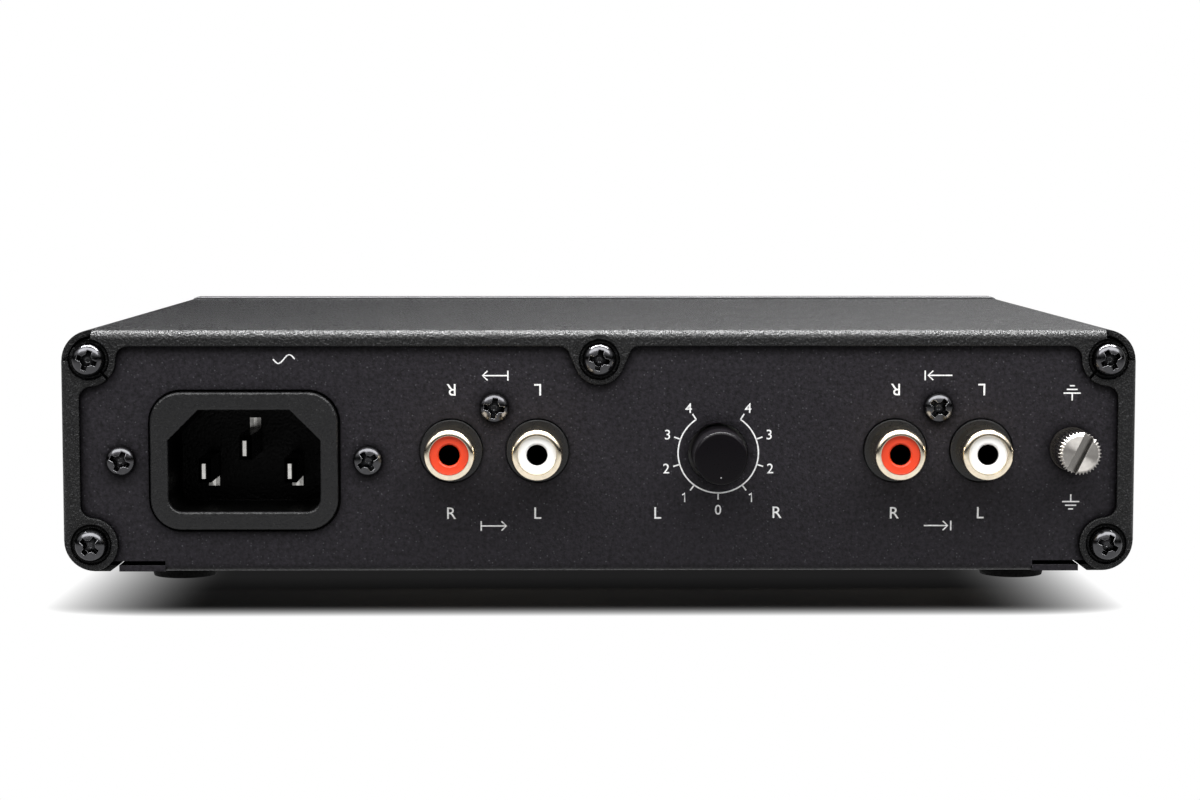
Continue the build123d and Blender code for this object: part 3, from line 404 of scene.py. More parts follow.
def run_tree(tree, values, points, turns=(), edges=()):
    """Mesh that a tree makes on the given points and edges, with its inputs set by their identifiers."""
    seats = bpy.data.meshes.new("seats")
    seats.from_pydata([tuple(p) for p in points], edges, [])
    if turns:
        seats.attributes.new("turn", "FLOAT", "POINT").data.foreach_set("value", turns)
    holder = bpy.data.objects.new("holder", seats)
    bpy.context.scene.collection.objects.link(holder)
    modifier = holder.modifiers.new("shape", "NODES")
    modifier.node_group = tree
    for socket in tree.interface.items_tree:
        if socket.in_out == "INPUT" and socket.name in values:
            modifier[socket.identifier] = values[socket.name]
    graph = bpy.context.evaluated_depsgraph_get()
    mesh = bpy.data.meshes.new_from_object(holder.evaluated_get(graph), depsgraph=graph)
    holder.modifiers.clear()
    bpy.data.objects.remove(holder)
    bpy.data.meshes.remove(seats)
    return mesh


def screw_tree():
    """Cross-recessed pan-head screws on points, driven towards +Y: a domed head, its flange and shank."""
    sizes = ("Head Radius", "Head Height", "Flange Radius", "Flange Height", "Recess Reach", "Recess Width")
    sizes += ("Recess Depth", "Shank Radius", "Shank Length")
    tree, add, inputs = new_tree("cross_recess_screw", sizes)
    xyz = add(SPLIT, add(POSITION)).outputs
    flat = add(COMBINE, xyz[0], xyz[1])

    # Head: a disc of rings, whose top is lifted into a dome with round shoulders
    head_inputs = {"Vertices": SCREW_SIDES, "Fill Segments": 22, "Radius": inputs["Head Radius"]}
    head = add(CYLINDER, {**head_inputs, "Depth": 2.0}, fill_type="TRIANGLE_FAN")
    reach = add(VECTOR, flat, operation="LENGTH")
    share = add("DIVIDE", reach, inputs["Head Radius"])
    # Rings are crowded towards the rim, where the shoulder turns down to the straight foot
    crowding, roundness, foot = 1.8, 2.4, 0.28
    crowded = add("POWER", add("SUBTRACT", 1.0, share), crowding)
    new_share = add("SUBTRACT", 1.0, crowded)
    growth = add("DIVIDE", new_share, add("MAXIMUM", share, 0.001))
    over_shoulder = add("SUBTRACT", 1.0, add("POWER", new_share, roundness), use_clamp=True)
    dome = add("MULTIPLY_ADD", add("POWER", over_shoulder, 0.5), 1 - foot, foot)
    height = add("MULTIPLY", dome, inputs["Head Height"])
    on_top = add("GREATER_THAN", xyz[2], 0.0)
    new_z = add("MULTIPLY_ADD", on_top, height, inputs["Flange Height"])
    ring = add(VECTOR, flat, growth, operation="SCALE")
    raised = add(VECTOR, ring, add(COMBINE, 0.0, 0.0, new_z), operation="ADD")
    head = add(MOVE, {"Geometry": head, "Position": raised})

    # Cross recess: two tapering wings and a cone in the middle
    full_height = add("ADD", inputs["Head Height"], inputs["Flange Height"])
    wing_depth = add("MULTIPLY", inputs["Recess Depth"], 1.2)
    wing_length = add("MULTIPLY", inputs["Recess Reach"], 2.0)
    wing = add(CUBE, {"Size": add(COMBINE, wing_length, inputs["Recess Width"], wing_depth)})
    lower = add("LESS_THAN", xyz[2], 0.0)
    shorter = add("MULTIPLY_ADD", lower, -0.45, 1.0)
    wing = narrowed(add, wing, shorter, add("MULTIPLY_ADD", lower, -0.3, 1.0))
    wing_z = add("MULTIPLY_ADD", inputs["Recess Depth"], -0.4, full_height)
    wings = [moved(add, wing, wing_z, turn) for turn in (0.0, pi / 2)]
    pit_inputs = {
        "Vertices": 24,
        "Radius Top": add("MULTIPLY", inputs["Recess Width"], 1.15),
        "Radius Bottom": add("MULTIPLY", inputs["Recess Width"], 0.35),
        "Depth": wing_depth,
    }
    pit_top = add("MULTIPLY_ADD", inputs["Recess Depth"], -0.45, full_height)
    pit = moved(add, add(CONE, pit_inputs), add("MULTIPLY_ADD", wing_depth, -0.5, pit_top))
    cut_inputs = {"Mesh 1": head, "Mesh 2": [*wings, pit]}
    head = add("GeometryNodeMeshBoolean", cut_inputs, operation="DIFFERENCE", solver="EXACT")

    # Flange with a bevelled rim, and shank
    flange_inputs = {
        "Vertices": SCREW_SIDES,
        "Radius Top": add("MULTIPLY_ADD", inputs["Flange Height"], -0.4, inputs["Flange Radius"]),
        "Radius Bottom": inputs["Flange Radius"],
        "Depth": inputs["Flange Height"],
    }
    flange = add(CONE, flange_inputs)
    shank_inputs = {"Vertices": 32, "Radius": inputs["Shank Radius"], "Depth": inputs["Shank Length"]}
    shank = moved(add, add(CYLINDER, shank_inputs), add("MULTIPLY", inputs["Shank Length"], -0.5))
    screw = add(JOIN, [shank, flange, head])

    turn = add("GeometryNodeInputNamedAttribute", {"Name": "turn"}, data_type="FLOAT")
    facing = add(COMBINE, pi / 2, turn, 0.0)
    screws = add(PLACE, {"Points": inputs["Geometry"], "Instance": screw, "Rotation": facing})
    finish_tree(add, inputs, screws)
    return tree


def dial_tree():
    """Dial scale: a ring open at its top and the marks round it, as thick as their ink, in the XZ plane."""
    sizes = ("Radius", "Line Width", "Ink", "Sweep", "Tick Length", "Marks")
    tree, add, inputs = new_tree("dial_scale", sizes)
    xyz = add(SPLIT, add(POSITION)).outputs
    both_ways = add("MULTIPLY", inputs["Sweep"], 2.0)

    # Ring: a strip along the angle, bent round the dial's middle
    strip_inputs = {"Size X": both_ways, "Size Y": inputs["Line Width"], "Vertices X": 145, "Vertices Y": 2}
    strip = add(GRID, strip_inputs)
    inward = add("MULTIPLY", add("ADD", inputs["Radius"], xyz[1]), -1.0)
    sine = add("SINE", xyz[0])
    cosine = add("COSINE", xyz[0])
    across = add("MULTIPLY", inward, sine)
    down = add("MULTIPLY", inward, cosine)
    ring = add(MOVE, {"Geometry": strip, "Position": add(COMBINE, across, down)})

    # Marks: one bar, repeated on points round the ring and turned to face its middle
    bar_size = {"Size X": inputs["Line Width"], "Size Y": inputs["Tick Length"]}
    bar = add(GRID, {"Vertices X": 2, "Vertices Y": 2, **bar_size})
    step_angle = add("DIVIDE", both_ways, add("SUBTRACT", inputs["Marks"], 1.0))
    turned_by = add("MULTIPLY", add("GeometryNodeInputIndex"), step_angle)
    angle = add("SUBTRACT", turned_by, inputs["Sweep"])
    mark_reach = add("MULTIPLY_ADD", inputs["Tick Length"], 0.5, inputs["Radius"])
    aside = add("SINE", angle)
    below = add("MULTIPLY", add("COSINE", angle), -1.0)
    mark_place = add(VECTOR, add(COMBINE, aside, below), mark_reach, operation="SCALE")
    points = add("GeometryNodePoints", {"Count": inputs["Marks"], "Position": mark_place})
    bar_turn = add(COMBINE, 0.0, 0.0, angle)
    marks = add(PLACE, {"Points": points, "Instance": bar, "Rotation": bar_turn})
    marks = add("GeometryNodeRealizeInstances", {"Geometry": marks})
    flat = add(JOIN, [ring, marks])

    # Thickness: the drawing is raised, and its underside closed
    raise_inputs = {"Mesh": flat, "Offset Scale": inputs["Ink"], "Individual": False}
    raised = add("GeometryNodeExtrudeMesh", raise_inputs)
    solid = add(JOIN, [add("GeometryNodeFlipFaces", {"Mesh": flat}), raised])
    welded = add("GeometryNodeMergeByDistance", {"Geometry": solid, "Distance": 1e-6})
    dial_inputs = {"Points": inputs["Geometry"], "Instance": welded, "Rotation": TO_CONNECTORS}
    finish_tree(add, inputs, add(PLACE, dial_inputs))
    return tree


def ink_lines_tree():
    """Printed lines: each edge in the XZ plane becomes a round line, flattened to the ink's thickness."""
    tree, add, inputs = new_tree("ink_lines", ("Line Width", "Ink", "Wall Depth"))
    curves = add("GeometryNodeMeshToCurve", {"Mesh": inputs["Geometry"]})
    half = add("MULTIPLY", inputs["Line Width"], 0.5)
    profile = add("GeometryNodeCurvePrimitiveCircle", {"Resolution": 10, "Radius": half})
    swept_inputs = {"Curve": curves, "Profile Curve": profile, "Fill Caps": True}
    swept = add("GeometryNodeCurveToMesh", swept_inputs)
    xyz = add(SPLIT, add(POSITION)).outputs
    proud = add("SUBTRACT", xyz[1], inputs["Wall Depth"])
    flatness = add("DIVIDE", inputs["Ink"], inputs["Line Width"])
    depth = add("MULTIPLY_ADD", proud, flatness, inputs["Wall Depth"])
    flat = add(COMBINE, xyz[0], depth, xyz[2])
    finish_tree(add, inputs, add(MOVE, {"Geometry": swept, "Position": flat}))
    return tree


def earth_screw_tree():
    """Thumb screw: a head with straight flutes, a bevelled end and a slot, and a threaded shank along +Y."""
    sizes = ("Head Radius", "Head Length", "Bevel", "Flute Radius", "Slot Width", "Slot Depth", "Slot Turn")
    sizes += ("Thread Radius", "Thread Length", "Thread Pitch", "Flutes")
    tree, add, inputs = new_tree("fluted_thumb_screw", sizes)
    xyz = add(SPLIT, add(POSITION)).outputs
    angle = add("ARCTAN2", xyz[1], xyz[0])

    # Head: every level of a cylinder is drawn in by the bevel and the flutes
    head_inputs = {
        "Vertices": add("MULTIPLY", inputs["Flutes"], 10.0),
        "Side Segments": 24,
        "Fill Segments": 6,
        "Radius": inputs["Head Radius"],
        "Depth": inputs["Head Length"],
    }
    head = add(CYLINDER, head_inputs, fill_type="TRIANGLE_FAN")
    flutes_per_radian = add("DIVIDE", inputs["Flutes"], 2 * pi)
    flute_share = add("FRACT", add("MULTIPLY", angle, flutes_per_radian))
    pitch = add("DIVIDE", inputs["Head Radius"], flutes_per_radian)
    offset = add("MULTIPLY", add("SUBTRACT", flute_share, 0.5), pitch)
    radius_squared = add("POWER", inputs["Flute Radius"], 2.0)
    height_squared = add("SUBTRACT", radius_squared, add("MULTIPLY", offset, offset))
    flute = add("SQRT", add("MAXIMUM", height_squared, 0.0))
    half_length = add("MULTIPLY", inputs["Head Length"], 0.5)
    over_bevel = add("SUBTRACT", inputs["Bevel"], add("SUBTRACT", half_length, xyz[2]))
    bevel = add("MAXIMUM", over_bevel, 0.0)
    # The flutes run out over the bevel, and leave its inner edge round
    runout = add("SUBTRACT", 1.0, add("DIVIDE", bevel, inputs["Bevel"]))
    bevelled = add("SUBTRACT", inputs["Head Radius"], bevel)
    drawn = add("SUBTRACT", bevelled, add("MULTIPLY", flute, runout))
    share = add("DIVIDE", drawn, inputs["Head Radius"])
    head = moved(add, narrowed(add, head, share, share), half_length)

    # Slot across the head's end
    slot_length = add("MULTIPLY", inputs["Head Radius"], 3.0)
    slot_height = add("MULTIPLY", inputs["Slot Depth"], 2.0)
    slot_size = add(COMBINE, slot_length, inputs["Slot Width"], slot_height)
    slot = moved(add, add(CUBE, {"Size": slot_size}), inputs["Head Length"], inputs["Slot Turn"])
    cut_inputs = {"Mesh 1": head, "Mesh 2": slot}
    head = add("GeometryNodeMeshBoolean", cut_inputs, operation="DIFFERENCE", solver="EXACT")

    # Shank with its thread, whose depth follows its pitch
    shank_inputs = {"Radius": inputs["Thread Radius"], "Depth": inputs["Thread Length"]}
    shank = add(CYLINDER, {"Vertices": 40, "Side Segments": 130, **shank_inputs})
    along = add("DIVIDE", xyz[2], inputs["Thread Pitch"])
    climb = add("ADD", along, add("DIVIDE", angle, 2 * pi))
    depth = add("MULTIPLY", add("PINGPONG", climb, 0.5), inputs["Thread Pitch"])
    left = add("SUBTRACT", 1.0, add("DIVIDE", depth, inputs["Thread Radius"]))
    shank = narrowed(add, shank, left, left)
    shank = moved(add, shank, add("MULTIPLY", inputs["Thread Length"], -0.5))
    screw = add(JOIN, [shank, head])
    screw_inputs = {"Points": inputs["Geometry"], "Instance": screw, "Rotation": TO_CONNECTORS}
    finish_tree(add, inputs, add(PLACE, screw_inputs))
    return tree


# ---------------------------------------------------------------- finishes
def powder_coat(name, colour, flake, gloss, rough, relief):
    """Fine-texture polyester powder coat on steel: matt, its sandy relief breaks highlights into grains."""
    size = bpy.context.scene.preamp_sizes.paint_grain
    material, add, place = new_finish(name)
    grains = add(NOISE, lumps_of(size, place, 3.0, 0.6))
    patches = add(NOISE, lumps_of(9 * size, place))
    mottle = add(NOISE, lumps_of(1.7 * size, place, 1.0))
    mixed = add(RANGE, add("ADD", grains, mottle), 0.72, 1.28, 0.0, 1.0)

    # Pale flakes stand a few grains apart, each drawn about 0.2 mm wide so that it shows
    cells = add("ShaderNodeTexVoronoi", {"Vector": place, "Scale": 1 / (1.4 * size)})
    specks = add(RANGE, cells.outputs["Distance"], 0.06, 0.26, 1.0, 0.0)
    lottery = add("ShaderNodeSeparateColor", cells.outputs["Color"])
    chosen = add(RANGE, lottery, 0.5, 1.0, 0.0, 0.8)
    flakes = add("MULTIPLY", specks, chosen)
    tone = add(MIX, mixed, scaled(colour, 0.45), scaled(colour, 1.6), data_type="RGBA")
    tone = add(MIX, flakes, tone, tuple(flake), data_type="RGBA")

    # Corners are painted darker as shade, and their gloss is cut there too
    sky = add("ShaderNodeAmbientOcclusion", {"Distance": 2.2 * MM}, samples=CORNER_RAYS)
    corner_shade = add(RANGE, sky.outputs["AO"], 0.55, 0.95, 0.25, 1.0)
    tone = add(MIX, corner_shade, (0, 0, 0, 1), tone, data_type="RGBA")

    worn = add(RANGE, patches, 0.3, 0.7, rough - 0.03, rough + 0.03)
    sanded = add(RANGE, grains, 0.35, 0.65, 0.14, -0.14)
    inputs = {
        "IOR": 1.5,
        "Base Color": tone,
        "Specular IOR Level": add("MULTIPLY", corner_shade, gloss),
        "Roughness": add("ADD", worn, sanded),
    }
    return shade(material, inputs, grains, relief * size, PAINT_EDGE)


def black_plate():
    """Black zinc plate on steel screws: a dark mirror, slightly cloudy."""
    material, add, place = new_finish("black_zinc_plate")
    cloud = add(NOISE, lumps_of(0.6 * MM, place))
    tone = add(MIX, cloud, linear("#3c3c3e"), linear("#565658"), data_type="RGBA")
    # Recesses and the corner under the head are painted near black, as shade
    sky = add("ShaderNodeAmbientOcclusion", {"Distance": 0.9 * MM}, samples=CORNER_RAYS).outputs["AO"]
    unshaded_share = add(RANGE, sky, 0.5, 0.92, 0.0, 1.0)
    tone = add(MIX, unshaded_share, linear("#060607"), tone, data_type="RGBA")
    # Painted highlight along the recess edges, where they catch the light, as well as wear where drivers rub
    # the plating
    eased = add("ShaderNodeBevel", {"Radius": 0.1 * MM}, samples=CORNER_RAYS)
    flat = add("ShaderNodeNewGeometry").outputs["Normal"]
    agreement = add(VECTOR, eased, flat, operation="DOT_PRODUCT")
    edges = add(RANGE, agreement, 0.86, 0.98, 1.0, 0.0)
    reached = add(RANGE, sky, 0.45, 0.7, 0.0, 1.0)
    tone = add(MIX, add("MULTIPLY", edges, reached), tone, linear("#98989a"), data_type="RGBA")
    rough = add(RANGE, cloud, 0.3, 0.7, 0.13, 0.22)
    skin = add(NOISE, lumps_of(0.25 * MM, place))
    inputs = {"Metallic": 1.0, "Base Color": tone, "Roughness": rough}
    return shade(material, inputs, skin, 0.004 * MM, 0.16 * MM)


def bright_plate(name, colour, rough, cloud_size):
    """Polished plating: a clean mirror with faint clouds and rub marks."""
    material, add, place = new_finish(name)
    cloud = add(NOISE, lumps_of(cloud_size, place))
    share = add(RANGE, cloud, 0.3, 0.7, 0.0, 1.0)
    tone = add(MIX, share, tuple(colour), scaled(colour, 0.86), data_type="RGBA")
    worn = add(RANGE, cloud, 0.3, 0.7, rough * 0.8, rough * 1.4)
    marks = add(NOISE, lumps_of(cloud_size / 3, place))
    return shade(material, {"Metallic": 1.0, "Base Color": tone, "Roughness": worn}, marks, 0.002 * MM)


def moulded(name, colour, rough, texture, depth, edge=PAINT_EDGE, gloss=0.5):
    """Injection-moulded plastic: satin skin with the fine spark-eroded texture of its mould."""
    material, add, place = new_finish(name)
    skin = add(NOISE, lumps_of(texture, place))
    cloud = add(NOISE, lumps_of(12 * texture, place))
    tone = add(MIX, cloud, tuple(colour), scaled(colour, 0.82), data_type="RGBA")
    worn = add(RANGE, skin, 0.3, 0.7, rough * 0.88, rough * 1.15)
    inputs = {"IOR": 1.5, "Specular IOR Level": gloss, "Base Color": tone, "Roughness": worn}
    return shade(material, inputs, skin, depth, edge)


def sheet_metal(name, hex_colour, rough):
    """Plain or plated sheet and turned metal: fine drawn lines along one direction."""
    material, add, place = new_finish(name)
    drawn_out = add("ShaderNodeMapping", {"Vector": place, "Scale": (1, 0.06, 1)})
    lines = add(NOISE, lumps_of(0.25 * MM, drawn_out))
    colour = linear(hex_colour)
    tone = add(MIX, lines, colour, scaled(colour, 0.8), data_type="RGBA")
    worn = add(RANGE, lines, 0.3, 0.7, rough * 0.8, rough * 1.3)
    return shade(material, {"Metallic": 1.0, "Base Color": tone, "Roughness": worn}, lines, 0.003 * MM)


# ---------------------------------------------------------------- operators
class PREAMP_OT_case(bpy.types.Operator):
    """Powder coat the cover and the tray, and finish the fascia and the feet"""

    bl_idname = "preamp.case"
    bl_label = "Finish case"

    def execute(self, context):
        colours = context.scene.preamp_colours
        flake = colours.paint_flake
        cover = powder_coat("textured_cover_paint", colours.cover_paint, flake, 0.27, 0.28, 0.62)
        dress(["top_cover"], cover)
        wall = powder_coat("textured_wall_paint", colours.wall_paint, flake, 0.16, 0.45, 0.3)
        dress(["chassis_tray"], wall)
        fascia = moulded("beadblasted_anodised_fascia", linear("#2c2c2e"), 0.42, 0.2 * MM, 0.006 * MM)
        dress(["front_fascia"], fascia)
        rubber = moulded("moulded_foot_rubber", linear("#0c0c0c"), 0.9, 0.4 * MM, 0.02 * MM, gloss=0.15)
        dress([f"foot_{end}_{side}" for end in ("rear", "front") for side in ("left", "right")], rubber)
        return {"FINISHED"}


class PREAMP_OT_screws(bpy.types.Operator):
    """Make the cross-recessed screws of the cover, the inlet and the jack blocks"""

    bl_idname = "preamp.screws"
    bl_label = "Make screws"

    # How far each screw came to rest when it was driven, in degrees
    COVER_TURNS = (20, 62, 38, 25, 12)
    INLET_TURNS = (24, 58)
    JACK_TURNS = (8, 40)
    PAN_EDGE = 0.2 * MM  # straight foot of a panel screw's head

    def execute(self, context):
        sizes = context.scene.preamp_sizes
        finish = black_plate()
        tree = screw_tree()
        # Radius and height of the head and of its flange
        cover = (sizes.head_radius, sizes.head_height, sizes.flange_radius, sizes.flange_height)
        panel = (sizes.pan_radius, sizes.pan_height - self.PAN_EDGE, sizes.pan_radius, self.PAN_EDGE)
        groups = (
            ("case_screws", "cover_screws", cover, self.COVER_TURNS),
            ("inlet_fixing_screws", "inlet_screws", panel, self.INLET_TURNS),
            ("jack_fixing_screws", "jack_screws", panel, self.JACK_TURNS),
        )
        for name, node, (head_radius, head_height, flange_radius, flange_height), turns in groups:
            low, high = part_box(node)
            seat_y = low.y + head_height + flange_height
            left, right = low.x + flange_radius, high.x - flange_radius
            lower, upper = low.z + flange_radius, high.z - flange_radius
            places = [(left, (lower + upper) / 2), (right, (lower + upper) / 2)]
            if node == "cover_screws":
                places = [(x, z) for z in (upper, lower) for x in (left, right)]
                places.append(((left + right) / 2, upper))
            values = {
                "Head Radius": head_radius,
                "Head Height": head_height,
                "Flange Radius": flange_radius,
                "Flange Height": flange_height,
                "Recess Reach": sizes.recess_reach,
                "Recess Width": sizes.recess_width,
                "Recess Depth": sizes.recess_depth,
                "Shank Radius": sizes.shank_radius,
                "Shank Length": high.y - seat_y,
                "Material": finish,
            }
            seats = [(x, seat_y, z) for x, z in places]
            mesh = run_tree(tree, values, seats, [radians(turn) for turn in turns])
            finished(name, mesh, finish, "case", [node])
        return {"FINISHED"}


class PREAMP_OT_print(bpy.types.Operator):
    """Print the dial, its numerals and the channel letters on the rear wall"""

    bl_idname = "preamp.print"
    bl_label = "Print rear wall"

    # Plain marks in millimetres, as lines through points: signal out, signal in, earth and mains
    MARK_OUT = [[(-2.2, -0.8), (-2.2, 0.8)], [(-2.2, 0), (1.9, 0)], [(1.1, 0.75), (1.9, 0), (1.1, -0.75)]]
    MARK_IN = [[(2.2, -0.8), (2.2, 0.8)], [(-2.2, 0), (1.7, 0)], [(0.9, 0.75), (1.7, 0), (0.9, -0.75)]]
    EARTH_BARS = [[(-half, v), (half, v)] for half, v in ((1.4, 0), (0.9, -0.6), (0.4, -1.2))]
    MARK_EARTH = [[(0, 1.2), (0, 0)], *EARTH_BARS]
    MARK_WAVE = [[(1.75 * i / 12, 0.7 * sin(pi * i / 12)) for i in range(-12, 13)]]
    NUMERAL_ONE = [[(-0.42, 0.45), (-0.05, 0.63), (0, 0.75), (0, -0.72)]]

    # Print round a pair of jacks, from its middle
    LETTER_ASIDE = 7.0 * MM
    LETTER_DROP = 10.2 * MM
    LETTER_RISE = 9.9 * MM
    MARK_DROP = 12.3 * MM
    MARK_RISE = 12.2 * MM

    def execute(self, context):
        sizes = context.scene.preamp_sizes
        ink = self.ink(context.scene.preamp_colours.print_ink)
        x, z = middle_of("balance_knob")[0]
        values = {
            "Radius": sizes.dial_radius,
            "Line Width": sizes.line_width,
            "Ink": sizes.ink_thickness,
            "Sweep": sizes.dial_sweep,
            "Tick Length": sizes.tick_length,
            "Marks": sizes.dial_marks,
            "Material": ink,
        }
        finished("dial_scale", run_tree(dial_tree(), values, [(x, WALL_Y, z)]), ink, "case")

        half = sizes.dial_marks // 2
        numerals, marks = [], []
        for mark in range(-half, half + 1):
            angle = sizes.dial_sweep * mark / half
            # The numerals stand a little further out at the dial's foot
            reach = sizes.dial_radius + sizes.tick_length + (1.15 + 0.5 * max(0, cos(angle)) ** 2) * MM
            place = (x + reach * sin(angle), z - reach * cos(angle))
            if abs(mark) == 1:
                marks.append((self.NUMERAL_ONE, *place, 1))
            else:
                numerals.append(printed_text(str(abs(mark)), sizes.numeral_height, *place))
        finished("dial_numerals", joined(numerals), ink, "case")

        # Channel letters beside the dial, under each pair of jacks, and over it the other way up
        letters = [
            printed_text("L", sizes.letter_height, x - 9.8 * MM, z - 9.8 * MM),
            printed_text("R", sizes.letter_height, x + 9.6 * MM, z - 9.7 * MM),
        ]
        for pair, mark in (("output", self.MARK_OUT), ("input", self.MARK_IN)):
            right_x, jack_z = middle_of(f"{pair}_right_shell")[0]
            left_x = middle_of(f"{pair}_left_shell")[0][0]
            pair_x = (right_x + left_x) / 2
            for word, word_x in (("R", pair_x - self.LETTER_ASIDE), ("L", pair_x + self.LETTER_ASIDE)):
                for word_z, turn in ((jack_z - self.LETTER_DROP, 0.0), (jack_z + self.LETTER_RISE, pi)):
                    letters.append(printed_text(word, sizes.letter_height, word_x, word_z, turn))
            marks.append((mark, pair_x, jack_z - self.MARK_DROP, 1))
            marks.append((mark, pair_x, jack_z + self.MARK_RISE, -1))
        finished("channel_letters", joined(letters), ink, "case")

        earth_x, earth_z = middle_of("ground_screw")[0]
        marks.append((self.MARK_EARTH, earth_x, earth_z - 8.6 * MM, 1))
        marks.append((self.MARK_EARTH, earth_x, earth_z + 9.1 * MM, -1))
        low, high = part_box("mains_inlet")
        marks.append((self.MARK_WAVE, (low.x + high.x) / 2 + 6.5 * MM, high.z + 4.0 * MM, 1))
        points, edges = [], []
        for lines, middle_x, middle_z, way in marks:
            for line in lines:
                start = len(points)
                points += [(middle_x + way * u * MM, WALL_Y, middle_z + way * v * MM) for u, v in line]
                edges += [(i, i + 1) for i in range(start, len(points) - 1)]
        # A line's thickness is doubled, because half of it lies behind the wall's face
        values = {"Line Width": sizes.line_width, "Ink": 2 * sizes.ink_thickness}
        values |= {"Wall Depth": WALL_Y, "Material": ink}
        finished("connector_marks", run_tree(ink_lines_tree(), values, points, edges=edges), ink, "case")
        return {"FINISHED"}

    def ink(self, colour):
        """Screen-printed epoxy ink: off-white and satin, uneven where the paint's grain shows through."""
        material, add, place = new_finish("screen_printed_ink")
        cover = add(NOISE, lumps_of(0.35 * MM, place))
        share = add(RANGE, cover, 0.3, 0.7, 0.0, 1.0)
        tone = add(MIX, share, tuple(colour), scaled(colour, 0.72), data_type="RGBA")
        return shade(material, {"IOR": 1.5, "Roughness": 0.6, "Base Color": tone}, cover, 0.008 * MM)


class PREAMP_OT_jacks(bpy.types.Operator):
    """Turn the jacks' shells and insulators, and finish their blocks and contacts"""

    bl_idname = "preamp.jacks"
    bl_label = "Make jacks"

    SHELL_ROOT = 3.8 * MM  # radius of a shell from the block's collar on
    COLLAR = 0.3 * MM  # how far the block's collar stands out from the wall
    SOCKET = 1.68 * MM
    WIDE_SOCKET = 2.3 * MM  # behind the contact's mouth
    SOCKET_BEVEL = 0.25 * MM

    def execute(self, context):
        colours = context.scene.preamp_colours
        gold = bright_plate("pale_gold_plate", colours.gold_plate, 0.15, 1.2 * MM)
        red = moulded("moulded_red_insulator", colours.red_insulator, 0.32, 0.3 * MM, 0.003 * MM)
        white = moulded("moulded_white_insulator", colours.white_insulator, 0.3, 0.3 * MM, 0.003 * MM)
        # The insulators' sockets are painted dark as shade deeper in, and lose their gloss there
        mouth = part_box("output_right_insulator")[0].y
        for insulator in (red, white):
            shade_inside(insulator, mouth + 0.3 * MM, mouth + 0.7 * MM, "#0a0908")
        block = moulded("moulded_jack_block", colours.black_plastic, 0.3, 0.3 * MM, 0.01 * MM, 0.2 * MM, 0.45)
        dress(["output_jack_body", "input_jack_body"], block)
        # The contacts are painted near black, as shade, so that the sockets read dark
        dress(["jack_contacts"], sheet_metal("shade_dark_contact_bronze", "#15120f", 0.5))
        for side, slot, plastic in (("right", "red_insulator", red), ("left", "white_insulator", white)):
            for pair in ("output", "input"):
                self.shell(f"{pair}_{side}_shell", middle_of(f"{pair}_{side}_insulator")[3], gold)
                self.insulator(f"{pair}_{side}_insulator", plastic, slot)
        # The strip over the edge would burn the plating out
        for lamp_link in bpy.data.collections[UNLIT_BY_STRIP].collection_objects:
            lamp_link.light_linking.link_state = "EXCLUDE"
        return {"FINISHED"}

    def shell(self, node, bore, finish):
        """Turned tube with a rounded mouth, and a smaller root from the block's collar on."""
        axis, start, end, radius = middle_of(node)
        collar = WALL_Y - self.COLLAR
        lip = radius - bore - 0.1 * MM
        # The bore's edge is left sharp, just behind the rounded mouth
        edge = 0.02 * MM
        corners = [
            (bore, end, 0),
            (bore, start + edge, 0),
            (radius - edge, start, lip),
            (radius, start + 2 * lip, 0),
            (radius, collar, 0),
            (self.SHELL_ROOT, collar, 0),
            (self.SHELL_ROOT, end, 0),
        ]
        piece = finished("turned_" + node, turned(corners, axis), finish, "case", [node])
        for lamp_objects in (UNLIT_BY_STRIP, LIT_BY_GLOW):
            bpy.data.collections[lamp_objects].objects.link(piece)

    def insulator(self, node, finish, slot):
        """Moulded core with a rounded rim and a wide bevel into its socket."""
        axis, start, end, radius = middle_of(node)
        mouth = WALL_Y + 1.0 * MM
        rim = radius - 0.01 * MM
        corners = [
            (self.WIDE_SOCKET, end, 0),
            (self.WIDE_SOCKET, mouth, 0),
            (self.SOCKET, mouth, 0),
            (self.SOCKET, start + self.SOCKET_BEVEL, 0.05 * MM),
            (self.SOCKET + self.SOCKET_BEVEL, start, 0.15 * MM),
            (rim, start, 0.2 * MM),
            (rim, end, 0),
        ]
        finished("moulded_" + node, turned(corners, axis), finish, "case", [node])


